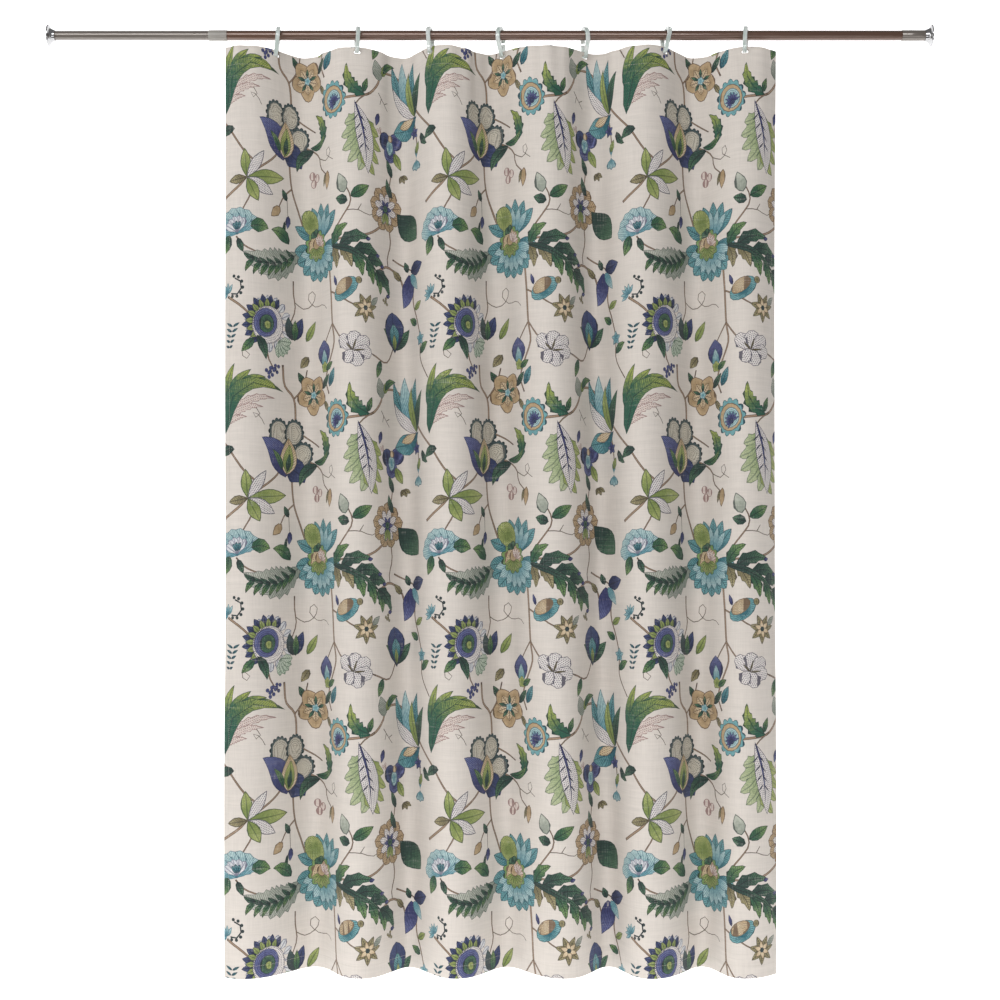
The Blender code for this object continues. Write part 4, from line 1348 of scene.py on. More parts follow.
    def oak_leaf(self) -> Motif:
        """A broad hanging leaf with pale lobes and a dotted middle."""
        made: Motif = []
        ends = ((316, 150), (308, 176), (310, 202), (322, 226), (346, 242), (388, 246), (400, 222), (406, 196),
                (400, 168))
        for number, end in enumerate(ends):
            share = number / 8 if number < 5 else (8 - number) / 8
            root = (352 + 16 * share * 0.6, 126 + 130 * share * 0.8)
            ink = Inks.PALE if number < 5 else Inks.LIME
            made += leaf(root, end, 25, ink, bend=0.12 if number < 5 else -0.12, teeth=3, tooth=0.16, widest=0.6)
        made += leaf((340, 108), (370, 246), 36, Inks.LACE, bend=0.06, widest=0.5)
        made += leaf((340, 104), (366, 228), 4.5, Inks.INDIGO.drawn(Pattern.PLAIN), bend=0.05, widest=0.3)
        for share in (0.2, 0.35, 0.5, 0.65):
            root = (344 + 26 * share, 106 + 124 * share)
            for side in (-1, 1):
                made += leaf(root, (root[0] + 15 * side, root[1] + 16), 2.4, shade(Inks.INDIGO))
        return made

    def pansy(self) -> Motif:
        """A dark drooping flower on a green stalk."""
        made = [oval((420, 172), 18, Inks.NAVY), oval((450, 168), 17, Inks.INDIGO), oval((434, 194), 18, Inks.INDIGO)]
        made += [oval((434, 182), 10, Inks.SEA.drawn(Pattern.STRIPES), 90, long=1.5), oval((436, 164), 7, Inks.CREAM)]
        made += leaf((446, 190), (464, 222), 17, Inks.LIME) + leaf((440, 240), (424, 206), 14, Inks.DEEP)
        return made + fan((466, 232), (250, 290, 330), 17, 9, Inks.OLIVE)

    def middle_flowers(self) -> Motif:
        """The five-leaf star, the great lotus with its leaves, the composite and what is beside them."""
        made: Motif = []
        for end, wide, ink in (((46, 198), 21, Inks.LIME), ((90, 200), 20, Inks.LACE), ((140, 247), 26, Inks.LIME),
                               ((110, 284), 23, Inks.LACE), ((76, 300), 24, Inks.LIME), ((10, 262), 17, Inks.OLIVE)):
            made += leaf((51, 255), end, wide, ink.drawn(ink.pattern, 0.0016), widest=0.5)
        for spot in ((212, 234), (226, 240), (216, 250)):
            made.append(oval(spot, 8.5, Inks.BLUSH.drawn(Pattern.PLAIN, 0.0014)))
        made += leaf((266, 232), (262, 270), 15, Inks.TAN) + leaf((258, 236), (250, 262), 8, Inks.OLIVE)
        made += leaf((314, 284), (300, 244), 25, Inks.SLATE.drawn(Pattern.PLAIN, 0.0016))
        made += leaf((328, 292), (372, 268), 21, Inks.GREEN) + leaf((322, 300), (292, 292), 19, Inks.DEEP)
        made += fan((419, 305), turns(9, 10), 42, 27, Inks.TAN.drawn(Pattern.VEINS), 4, widest=0.66, point=0.6)
        made += fan((419, 305), turns(8, 30), 31, 16, Inks.LACE, 2, widest=0.6)
        made += fan((419, 305), turns(6, 0), 17, 9, Inks.INDIGO, 2) + fan((419, 312), (250, 290), 26, 12, Inks.LIME)
        made.append(oval((419, 305), 7, Inks.DEEP.drawn(Pattern.DOTS)))
        made += leaf((452, 308), (508, 362), 46, Inks.DEEP.drawn(Pattern.HATCH), widest=0.55)
        made += leaf((440, 280), (424, 244), 15, Inks.DEEP, bend=0.1)
        made += fan((30, 366), turns(7, 40, 130), 54, 26, Inks.SEA, widest=0.72, point=0.6, teeth=4, tooth=0.14)
        made += fan((30, 362), turns(5, 60, 90), 34, 15, Inks.WHITE, widest=0.7, point=0.6)
        made += fan((30, 356), turns(3, 70, 60), 18, 9, Inks.TEAL)
        made += leaf((58, 350), (98, 352), 26, Inks.GREEN, bend=0.12) + leaf((12, 366), (-4, 404), 22, Inks.GREEN)
        made += leaf((30, 372), (42, 400), 14, Inks.DEEP)
        made += leaf((146, 290), (134, 268), 13, Inks.DEEP) + leaf((128, 304), (104, 326), 18, Inks.TAN)
        made += leaf((150, 318), (146, 344), 13, Inks.INDIGO) + leaf((140, 330), (134, 360), 8, Inks.DEEP)
        made += self.great_lotus()
        spine = ((280, 384), (300, 386), (330, 400), (360, 416), (386, 430))
        for (u, v), ends in zip(spine, (((322, 344), (292, 428)), ((372, 372), (330, 430)), ((396, 402), (352, 446)),
                                        ((412, 420), (378, 460)), ((430, 474), (400, 476)))):
            made += leaf((u, v), ends[1], 21, Inks.OLIVE if u < 310 else Inks.GREEN, bend=0.12, teeth=3, tooth=0.2)
            made += leaf((u, v), ends[0], 24, Inks.DEEP if u > 290 else Inks.GREEN, bend=0.14, teeth=3, tooth=0.2)
        made += leaf((276, 382), (400, 442), 12, Inks.DEEP, bend=0.08, widest=0.3)
        for spot in ((374, 371), (400, 400), (414, 419), (432, 474)):
            made += leaf((spot[0] - 13, spot[1] + 2), spot, 8, Inks.INDIGO)
        return made

    def great_lotus(self) -> Motif:
        """The largest blossom: sea-blue petals in tiers about a cream heart, with its seed pod and fern leaf."""
        made: Motif = []
        made.append(petal((178, 384), (42, 398), 54, Inks.SLATE.drawn(Pattern.VEINS), bend=0.20, widest=0.5,
                          teeth=8, tooth=0.16))
        for number in range(7):
            share = 0.10 + 0.12 * number
            spot = (178 - 136 * share, 385 + 13 * share + 110 * share * (1 - share))
            made += leaf(spot, (spot[0] - 20, spot[1] + 26), 11, Inks.GREEN, bend=-0.12)
            made += leaf(spot, (spot[0] - 24, spot[1] - 12), 9, Inks.DEEP, bend=0.12)
        made += leaf((150, 374), (104, 352), 24, Inks.GREEN, bend=-0.15)
        made += fan((232, 378), turns(9, 186, 168), 66, 27, Inks.TEAL, 2, widest=0.62, point=0.7)
        made += fan((236, 366), turns(6, 44, 112), 76, 23, Inks.TEAL, widest=0.62)
        made += fan((232, 378), turns(8, 194, 152), 52, 19, Inks.SEA, 2, widest=0.62)
        made += fan((236, 366), turns(5, 52, 92), 60, 15, Inks.SEA, widest=0.62)
        made += [oval((222, 372), 30, Inks.GREEN.drawn(Pattern.PLAIN), lobes=11, depth=0.14)]
        made += [oval((222, 372), 24, Inks.CREAM.drawn(Pattern.DOTS), lobes=9, depth=0.10)]
        made += fan((222, 376), turns(7, 200, 140), 26, 11, Inks.LIME) + [oval((220, 368), 11, Inks.TAN)]
        made += fan((226, 372), turns(5, 10, 100), 22, 8, Inks.BLUSH)
        made.append(oval((206, 326), 20, Inks.LIME.drawn(Pattern.HATCH), -62, long=1.4))
        return made + [oval((216, 348), 13, Inks.DEEP.drawn(Pattern.VEINS), -62, lobes=5, depth=0.14, long=0.6)]

    def low_flowers(self) -> Motif:
        """The pomegranate, the dark tulip, the lobed white leaves and what is beside them."""
        made: Motif = []
        made += [oval((314, 470), 19, Inks.TEAL, 32, long=1.7), oval((310, 464), 13, Inks.HATCHED, 32, long=1.8)]
        made += [petal((292, 462), (284, 440), 9, Inks.INDIGO), oval((344, 454), 7, Inks.OLIVE)]
        made += leaf((480, 428), (466, 494), 30, Inks.INDIGO, bend=0.10) + leaf((486, 424), (528, 412), 26, Inks.NAVY)
        made += leaf((486, 428), (510, 462), 17, Inks.SEA) + leaf((462, 440), (440, 420), 14, Inks.OLIVE)
        made += leaf((478, 424), (470, 402), 12, Inks.DEEP)
        for number in range(7):
            angle = math.radians(96 - 34 * number)
            made.append(oval((24 + 17 * math.cos(angle), 466 - 20 * math.sin(angle)), 3.4, Inks.CHAR))
        made.append(stem([(24, 450), (36, 456), (38, 470), (28, 482), (16, 480)], 0.003, Inks.CHAR))
        made += fan((8, 480), turns(6, 60, 150), 22, 8, Inks.SEA)
        made += fan((100, 536), turns(15, 150, 330), 26, 15, Inks.WHITE, 30, widest=0.6)
        made += fan((94, 534), turns(9, 60, 170), 24, 14, Inks.NAVY, 32, widest=0.4)
        made += fan((94, 534), turns(8, 70, 150), 20, 11, Inks.LIME, 28, widest=0.4)
        made += [oval((96, 538), 36, Inks.LACE, 60, long=1.05), oval((90, 534), 27, Inks.INDIGO, 60, long=1.1)]
        made += [oval((92, 536), 17, Inks.DEEP.drawn(Pattern.HATCH), 60, long=1.1), oval((94, 538), 8, Inks.LIME)]
        made += fan((120, 566), turns(5, 270, 90), 34, 17, Inks.FROND, widest=0.6)
        made += leaf((64, 566), (38, 592), 16, Inks.GREEN) + leaf((70, 560), (90, 606), 18, Inks.DEEP, bend=0.1)
        made += fan((358, 507), turns(7, 12), 30, 13, Inks.OLIVE) + fan((358, 507), turns(6, 40), 19, 9, Inks.CREAM)
        made += [oval((358, 507), 5, Inks.CHAR)] + leaf((372, 500), (392, 482), 12, Inks.SLATE)
        made += leaf((446, 578), (410, 540), 22, Inks.GREEN, bend=-0.15) + leaf((446, 578), (480, 536), 20, Inks.DEEP)
        made += leaf((446, 584), (438, 504), 46, Inks.NAVY, widest=0.62, point=0.7)
        made += leaf((446, 580), (442, 526), 24, Inks.TEAL, widest=0.6)
        made += leaf((446, 578), (444, 546), 11, Inks.LIME)
        for end, wide in (((300, 560), 28), ((336, 552), 30), ((366, 566), 28), ((372, 596), 27), ((346, 620), 28),
                          ((312, 612), 26)):
            made += leaf((330, 588), end, wide, Inks.LACE, widest=0.62, point=0.6, teeth=3, tooth=0.12)
        for end in ((316, 574), (338, 566), (356, 588)):
            made += leaf((330, 590), end, 4, Inks.OLIVE)
        made += leaf((246, 618), (242, 560), 40, Inks.INDIGO, widest=0.55)
        made += leaf((246, 618), (243, 578), 20, Inks.SEA)
        made.append(oval((246, 614), 11, Inks.LIME, 90, lobes=5, depth=0.16))
        made += leaf((250, 620), (276, 606), 13, Inks.GREEN)
        made += leaf((162, 560), (146, 516), 24, Inks.CHAR, bend=0.1) + leaf((162, 560), (182, 514), 22, Inks.NAVY)
        made += leaf((162, 562), (164, 520), 16, Inks.GREEN) + cluster((112, 622), 4.0, 6, Inks.INDIGO)
        made += leaf((190, 560), (214, 520), 15, Inks.LIME) + leaf((196, 590), (176, 614), 17, Inks.OLIVE)
        for number in range(5):
            spot = (20 - 2 * number, 544 + 10 * number)
            made += fan(spot, (28, 152), 17 - 2 * number, 5, Inks.TEAL)
        made += fan((520, 560), turns(5, 20), 15, 9, Inks.SEA)
        made += leaf((520, 590), (548, 570), 16, Inks.GREEN, bend=0.1)
        made += leaf((498, 500), (524, 486), 14, Inks.LIME) + leaf((506, 530), (482, 516), 15, Inks.GREEN)
        return made + cluster((418, 486), 3.4, 5, Inks.OLIVE) + leaf((400, 604), (386, 640), 16, Inks.GREEN)

    def repeats(self, across: float, down: float) -> Motif:
        """Every shape that touches a cloth of this size, in the order they are printed."""
        made = []
        single = self.vines() + self.low_flowers() + self.top_flowers() + self.middle_flowers()
        for number, patch in enumerate(single):
            patch = patch.uncovered(single[number + 1:])
            low, high = patch.outline.min(0), patch.outline.max(0)
            for column in range(-2, int(across / self.width) + 2):
                for row in range(-2, int(down / self.height) + 2):
                    shift = np.array([column * self.width, row * self.height])
                    if (low + shift < [across, down]).all() and (high + shift > 0).all():
                        made.append(patch.shifted(*shift))
        return made


def inside_outline(points: Array, outline: Array) -> Array:
    """Whether each point is inside a closed outline, by its winding."""
    start, end = outline, np.roll(outline, -1, axis=0)
    x, y = points[:, None, 0], points[:, None, 1]
    side = (end[:, 0] - start[:, 0]) * (y - start[:, 1]) - (x - start[:, 0]) * (end[:, 1] - start[:, 1])
    up = (start[:, 1] <= y) & (end[:, 1] > y) & (side > 0)
    down = (start[:, 1] > y) & (end[:, 1] <= y) & (side < 0)
    return (up.sum(1) - down.sum(1)) != 0


# -------------------------------------------------------------------------------------------- cloth

class Cutting:
    """Lines and points laid out on the flat cloth, cut into triangles that are long down the folds."""

    squeeze = 0.35
    longest = 0.0088

    def __init__(self) -> None:
        """Start with nothing laid out."""
        self.points: list[tuple[float, float]] = []
        self.edges: list[tuple[int, int]] = []

    def line(self, places: Array, closed: bool, seen: Optional[Array] = None) -> None:
        """Lay out a line that the triangles keep to, or those of its edges that are seen.

        Args:
            places: Points along the line.
            closed: Whether it runs back to its start.
            seen: For each edge, whether it is laid out.
        """
        count = len(places)
        numbers: dict[int, int] = {}

        def point(index: int) -> int:
            """The number of a laid-out point, added once it is needed."""
            if index not in numbers:
                numbers[index] = len(self.points)
                self.points.append(tuple(places[index]))
            return numbers[index]

        for edge in range(count if closed else count - 1):
            if seen is not None and not seen[edge]:
                continue
            start, end = edge, (edge + 1) % count
            parts = int(abs(places[end][0] - places[start][0]) / self.longest) + 1
            last = point(start)
            for part in range(1, parts):
                self.points.append(tuple(places[start] + (places[end] - places[start]) * part / parts))
                self.edges.append((last, len(self.points) - 1))
                last = len(self.points) - 1
            self.edges.append((last, point(end)))

    def fill(self, low: Sequence[float], high: Sequence[float], step: tuple[float, float], clear: float) -> None:
        """Add an even spread of points that keep clear of the lines."""
        used = {(int(x / clear), int(y / clear)) for x, y in self.points}
        columns = np.arange(low[0] + step[0] / 2, high[0], step[0])
        rows = np.arange(low[1] + step[1] / 2, high[1], step[1])
        for x in columns:
            for y in rows:
                if (int(x / clear), int(y / clear)) not in used:
                    self.points.append((float(x), float(y)))

    def cut(self, keep: Callable[[Array], Array]) -> tuple[Array, Array]:
        """Triangulate, and keep the triangles whose middles pass a test.

        Args:
            keep: Says for an array of middles which triangles stay.

        Returns:
            The points and the triangles, which face the cloth's front.
        """
        squeezed = [Vector((x, y * self.squeeze)) for x, y in self.points]
        joined = delaunay_2d_cdt(squeezed, self.edges, [], 0, 2e-6, False)
        points = np.array([tuple(p) for p in joined[0]]) / [1, self.squeeze]
        faces = np.array([tuple(f) for f in joined[2] if len(f) == 3])
        corner = points[faces]
        area = np.cross(corner[:, 1] - corner[:, 0], corner[:, 2] - corner[:, 0])
        faces = np.where((area > 0)[:, None], faces[:, ::-1], faces)
        faces = faces[(np.abs(area) > 1e-11) & keep(points[faces].mean(1))]
        used, faces = np.unique(faces, return_inverse=True)
        return points[used], faces.reshape(-1, 3)


def border_edges(faces: Array) -> Array:
    """The edges that only one triangle has, in that triangle's direction."""
    edges = np.concatenate([faces[:, [0, 1]], faces[:, [1, 2]], faces[:, [2, 0]]])
    ordered = np.sort(edges, axis=1)
    _, index, count = np.unique(ordered, axis=0, return_index=True, return_counts=True)
    return edges[index[count == 1]]


@dataclass(frozen=True)
class BakeLayout:
    """Where the panel's sides lie on the baking square."""

    margin: float = 0.005
    front_size: float = 0.97
    back_size: float = 0.16
    back_corner: tuple[float, float] = (0.83, 0.02)
    rim_corner: tuple[float, float] = (0.84, 0.30)
    rim_length: float = 0.12
    rim_height: float = 0.001


@dataclass
class Curtain:
    """The printed panel, its header tape and hems, and the stitching that holds them."""

    drape: Drape
    thickness: float = 0.0006
    hem_thickness: float = 0.0005
    hem_gap: float = 0.0004
    header_height: float = 0.038
    bottom_hem_height: float = 0.026
    side_hem_width: float = 0.014
    front_step: tuple[float, float] = (0.0080, 0.0240)
    back_step: tuple[float, float] = (0.0072, 0.0400)
    line_clearance: float = 0.0055
    hem_step: tuple[float, float] = (0.009, 0.012)
    hem_clearance: float = 0.004
    strip_gap: float = 0.0008
    edge_step: float = 0.0050
    keep_width: float = 0.30
    stitch_length: float = 0.0027
    stitch_pitch: float = 0.0038
    stitch_width: float = 0.00055
    stitch_lift: float = 0.00028
    bar_length: float = 0.0020
    bar_pitch: float = 0.00085
    bar_outset: float = 0.0011
    seam_end: float = 0.004
    top_seam: float = 0.0032
    seam_inset: float = 0.0020
    side_seam_inset: float = 0.0022

    def __post_init__(self) -> None:
        """Lay out the buttonholes."""
        self.holes = self.drape.buttonholes()

    def hole_line(self, hole: tuple[float, float, float, float], grow: float = 0.0) -> Array:
        """A buttonhole's outline with round ends."""
        left, right, top, bottom = hole
        radius = (bottom - top) / 2 + grow
        middle = (top + bottom) / 2
        ends = []
        for centre, start in ((right - radius + grow, -90), (left + radius - grow, 90)):
            for step in range(7):
                turn = math.radians(start + 30 * step)
                ends.append((centre + radius * math.cos(turn), middle + radius * math.sin(turn)))
        return np.array(ends)

    def outline(self, box: tuple[float, float, float, float]) -> Array:
        """A rectangle on the flat cloth with closely set points."""
        left, right, top, bottom = box
        sides = []
        for (x0, y0), (x1, y1) in (
            ((left, top), (right, top)), ((right, top), (right, bottom)),
            ((right, bottom), (left, bottom)), ((left, bottom), (left, top)),
        ):
            step = self.edge_step if y0 == y1 else self.front_step[1]
            count = max(2, int(round(max(abs(x1 - x0), abs(y1 - y0)) / step)))
            share = np.arange(count) / count
            sides.append(np.stack([x0 + (x1 - x0) * share, y0 + (y1 - y0) * share], -1))
        return np.concatenate(sides)

    def kept(self, box: tuple[float, float, float, float]) -> Callable[[Array], Array]:
        """A test for triangles that are inside a box and outside every buttonhole."""
        left, right, top, bottom = box
        holes = [self.hole_line(hole) for hole in self.holes]

        def test(middles: Array) -> Array:
            """Whether each triangle is cloth."""
            x, y = middles.T
            good = (x > left) & (x < right) & (y > top) & (y < bottom)
            near = np.where(good & (y < 0.03))[0]
            for hole in holes:
                good[near] &= ~inside_outline(middles[near], hole)
            return good
        return test

    def layer(
        self, name: str, face: tuple[Array, Array], back: tuple[Array, Array], offsets: tuple[float, float],
    ) -> tuple[bpy.types.Object, int]:
        """Hang a front and a back layout and join them at their borders into one closed sheet.

        Args:
            name: The piece's name.
            face: Points and triangles of the front.
            back: Points and triangles of the back, with the same border points.
            offsets: How far behind the cloth's middle the front and the back lie.

        Returns:
            The sheet, and how many triangles its front has.
        """
        front_points, front_faces = face
        back_points, back_faces = back
        first = len(front_points)
        front_places, front_normals = self.drape.place(front_points, offsets[0])
        back_places, back_normals = self.drape.place(back_points, offsets[1])
        tree = KDTree(first)
        for number, point in enumerate(front_points):
            tree.insert((*point, 0), number)
        tree.balance()
        borders = border_edges(back_faces)
        twin = {int(v): tree.find((*back_points[v], 0))[1] for v in np.unique(borders)}
        rim = []
        for a, b in borders:
            rim += [(b + first, a + first, twin[int(a)]), (b + first, twin[int(a)], twin[int(b)])]
        faces = np.concatenate([front_faces, back_faces[:, ::-1] + first, np.array(rim)])
        mesh = bpy.data.meshes.new(name)
        mesh.from_pydata(np.concatenate([front_places, back_places]).tolist(), [], faces.tolist())
        mesh.update()
        mesh.shade_smooth()
        mesh.normals_split_custom_set_from_vertices(np.concatenate([front_normals, -back_normals]).tolist())
        flat = mesh.attributes.new("flat", "FLOAT_VECTOR", "POINT")
        places = np.concatenate([front_points, back_points])
        flat.data.foreach_set("vector", np.column_stack([places, np.zeros(len(places))]).ravel())
        return Workshop.added(name, mesh), len(front_faces)

    @staticmethod
    def lay_uv(piece: bpy.types.Object, front_count: int, back_count: int) -> None:
        """Lay the front over most of the baking square, and the back and the rim in what is left."""
        mesh, layout = piece.data, BakeLayout()
        flat = np.empty(len(mesh.vertices) * 3)
        mesh.attributes["flat"].data.foreach_get("vector", flat)
        flat = flat.reshape(-1, 3)[:, :2]
        corners = np.empty(len(mesh.loops), int)
        mesh.loops.foreach_get("vertex_index", corners)
        at = flat[corners].copy()
        low, size = flat.min(0), np.ptp(flat, axis=0)
        at = (at - low) / max(size)
        uv = at * layout.front_size + layout.margin
        number = np.arange(len(corners)) // 3
        behind = number >= front_count
        uv[behind] = at[behind] * layout.back_size + layout.back_corner
        rim = number >= front_count + back_count
        share = (number[rim] - front_count - back_count) / max(rim.sum() / 3, 1)
        steps = np.arange(rim.sum()) % 3
        uv[rim] = np.stack([share * layout.rim_length, steps * layout.rim_height], -1) + layout.rim_corner
        layer = mesh.uv_layers.new(name="OFBake")
        uv[:, 1] = 1 - uv[:, 1]
        layer.data.foreach_set("uv", uv.ravel())

    def panel(self) -> bpy.types.Object:
        """The panel with its print."""
        across, drop = self.drape.flat_width, self.drape.drop
        box = (0.0, across, 0.0, drop)
        border = self.outline(box)
        patches = TrailingPrint().repeats(across, drop)
        cutting = Cutting()
        cutting.line(border, True)
        for hole in self.holes:
            cutting.line(self.hole_line(hole), True)
        for patch in patches:
            cutting.line(patch.outline, True, patch.outline_seen)
            if len(patch.ridge) > 1:
                cutting.line(patch.ridge, False, patch.ridge_seen)
            else:
                cutting.points.append(tuple(patch.ridge[0]))
        cutting.fill((0, 0), (across, drop), self.front_step, self.line_clearance)
        face = cutting.cut(self.kept(box))
        edge = border_edges(face[1])
        reverse = Cutting()
        for a, b in edge:
            reverse.line(face[0][[a, b]], False)
        reverse.fill((0, 0), (across, drop), self.back_step, self.line_clearance)
        back = reverse.cut(self.kept(box))
        half = self.thickness / 2
        piece, count = self.layer("printed_curtain", face, back, (-half, half))
        log.info("print: %d shapes, front %d triangles, back %d", len(patches), count, len(back[1]))
        self.ink(piece, face, patches, count)
        self.lay_uv(piece, count, len(back[1]))
        return piece

    @staticmethod
    def ink(piece: bpy.types.Object, face: tuple[Array, Array], patches: Motif, count: int) -> None:
        """Give every corner of the front the ink of the topmost shape over it.

        Args:
            piece: The panel.
            face: Points and triangles of its front.
            patches: The printed shapes from the lowest up.
            count: How many triangles the front has.
        """
        points, faces = face
        corners = points[faces]
        middles = corners.mean(1)
        order = np.argsort(middles[:, 0])
        sorted_x = middles[order, 0]
        topmost = np.full(count, -1)
        for number, patch in enumerate(patches):
            low, high = patch.outline.min(0), patch.outline.max(0)
            span = order[np.searchsorted(sorted_x, low[0]):np.searchsorted(sorted_x, high[0])]
            span = span[(middles[span, 1] > low[1]) & (middles[span, 1] < high[1])]
            if len(span):
                topmost[span[inside_outline(middles[span], patch.outline)]] = number
        total = len(piece.data.loops)
        body, tip, line = (np.zeros((total, 4)) for _ in range(3))
        place, pattern = np.zeros((total, 3)), np.zeros((total, 4))
        line[:, 3] = 1.0
        for number, patch in enumerate(patches):
            mine = np.where(topmost == number)[0]
            if not len(mine):
                continue
            rows = (mine[:, None] * 3 + np.arange(3)).ravel()
            along, aside, inside, tone = patch.read(corners[mine].reshape(-1, 2), np.repeat(middles[mine], 3, axis=0))
            place[rows] = np.column_stack([along, aside, inside])
            body[rows, :3], tip[rows, :3], line[rows, :3] = patch.ink.body, patch.ink.tip, patch.ink.line
            body[rows, 3], tip[rows, 3], line[rows, 3] = tone, 1.0, patch.ink.rim
            pattern[rows] = patch.ink.pattern.value
        for key, kind, values in (
            ("ink_body", "FLOAT_COLOR", body), ("ink_tip", "FLOAT_COLOR", tip), ("ink_line", "FLOAT_COLOR", line),
            ("ink_pattern", "FLOAT_COLOR", pattern), ("ink_place", "FLOAT_VECTOR", place),
        ):
            attribute = piece.data.attributes.new(key, kind, "CORNER")
            attribute.data.foreach_set("vector" if kind == "FLOAT_VECTOR" else "color", values.ravel())

    def strip(self, name: str, box: tuple[float, float, float, float], holes: bool) -> bpy.types.Object:
        """A hem or tape behind the panel, as one closed sheet."""
        cutting = Cutting()
        cutting.line(self.outline(box), True)
        if holes:
            for hole in self.holes:
                cutting.line(self.hole_line(hole), True)
        cutting.fill((box[0], box[2]), (box[1], box[3]), self.hem_step, self.hem_clearance)
        cut = cutting.cut(self.kept(box))
        front = self.thickness / 2 + self.hem_gap
        return self.layer(name, cut, cut, (front, front + self.hem_thickness))[0]

    def seams(self) -> list[tuple[tuple[float, float], tuple[float, float]]]:
        """The lines of stitches, from and to places on the flat cloth."""
        across, drop, end = self.drape.flat_width, self.drape.drop, self.seam_end
        header, bottom = self.header_height - self.seam_inset, drop - self.bottom_hem_height + self.seam_inset
        left = self.side_hem_width - self.side_seam_inset
        level = [((end, down), (across - end, down)) for down in (self.top_seam, header, bottom)]
        upright = [((side, header + end), (side, bottom - end)) for side in (left, across - left)]
        return level + upright

    def marks(self) -> list[tuple[Array, Array, float]]:
        """Every hem and buttonhole stitch as its middle, its direction and its length on the flat cloth."""
        marks, clear = [], self.seam_end
        for start, end in np.array(self.seams()):
            length = float(np.hypot(*(end - start)))
            way = (end - start) / length
            for number in range(int(length / self.stitch_pitch)):
                middle = start + way * (number + 0.5) * self.stitch_pitch
                if not any(
                    left - clear < middle[0] < right + clear and top - clear < middle[1] < bottom + clear
                    for left, right, top, bottom in self.holes
                ):
                    marks.append((middle, way, self.stitch_length))
        for hole in self.holes:
            ring = self.hole_line(hole, self.bar_outset)
            ring = np.concatenate([ring, ring[:1]])
            for at in np.arange(0, walked(ring)[-1], self.bar_pitch):
                spot, ahead = read_off(ring, [at, at + 1e-4])
                way = ahead - spot
                if np.hypot(*way) > 1e-6:
                    way = way / np.hypot(*way)
                    marks.append((spot, np.array([-way[1], way[0]]), self.bar_length))
        return marks

    def stitching(self) -> bpy.types.Object:
        """The stitches on the panel's face, as small lens-shaped lengths of thread."""
        spots, lifts, faces = [], [], []
        for middle, way, length in self.marks():
            side = np.array([-way[1], way[0]]) * self.stitch_width / 2
            first = len(spots)
            for share, fat in ((-0.36, 0.75), (0.0, 1.0), (0.36, 0.75)):
                centre = middle + way * length * share
                for aside, lift in ((-1, 0.25), (0, 1.0), (1, 0.25), (0, -0.35)):
                    spots.append(centre + side * aside * fat)
                    lifts.append(self.stitch_lift * lift * fat)
            for share in (-0.5, 0.5):
                spots.append(middle + way * length * share)
                lifts.append(-0.00005)
            for station in range(2):
                for corner in range(4):
                    a, b = first + 4 * station + corner, first + 4 * station + (corner + 1) % 4
                    faces.append((a, b, b + 4, a + 4))
            for corner in range(4):
                a, b = first + corner, first + (corner + 1) % 4
                faces += [(b, a, first + 12), (a + 8, b + 8, first + 13)]
        places, _ = self.drape.place(np.array(spots), -self.thickness / 2 - np.array(lifts))
        mesh = bpy.data.meshes.new("hem_stitching")
        mesh.from_pydata(places.tolist(), [], faces)
        mesh.update()
        mesh.shade_smooth()
        made = Workshop.added("hem_stitching", mesh)
        shape = bmesh.new()
        shape.from_mesh(mesh)
        bmesh.ops.recalc_face_normals(shape, faces=shape.faces[:])
        shape.to_mesh(mesh)
        shape.free()
        return made

    def build(self) -> list[bpy.types.Object]:
        """Make, dress and hang every piece of cloth and thread."""
        across, drop = self.drape.flat_width, self.drape.drop
        linen = Linen()
        printed = linen.printed("printed_linen")
        hem = linen.plain("hem_linen", dye_colour(204, 196, 187))
        panel = self.panel()
        panel.data.materials.append(printed)
        gap, hem_top = self.strip_gap, drop - self.bottom_hem_height
        side = (self.header_height + gap, hem_top - gap)
        strips = {
            "header_tape": ("stitched_header", (0.0, across, gap, self.header_height), True),
            "bottom_hem": ("folded_bottom_hem", (0.0, across, hem_top, drop - gap), False),
            "left_hem": ("folded_left_hem", (0.0, self.side_hem_width, *side), False),
            "right_hem": ("folded_right_hem", (across - self.side_hem_width, across, *side), False),
        }
        pieces = [panel]
        for node, (name, box, holes) in strips.items():
            strip = self.strip(name, box, holes)
            Workshop.dress(strip, hem, "hem_cloth")
            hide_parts(node)
            pieces.append(strip)
        stitching = self.stitching()
        Workshop.dress(stitching, Thread().material(), "hem_cloth")
        pieces.append(stitching)
        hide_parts("curtain_panel")
        for piece in pieces:
            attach(piece, "curtain")
            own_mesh(piece)
        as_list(pieces[1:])
        return pieces


# -------------------------------------------------------------------------------------------- rings

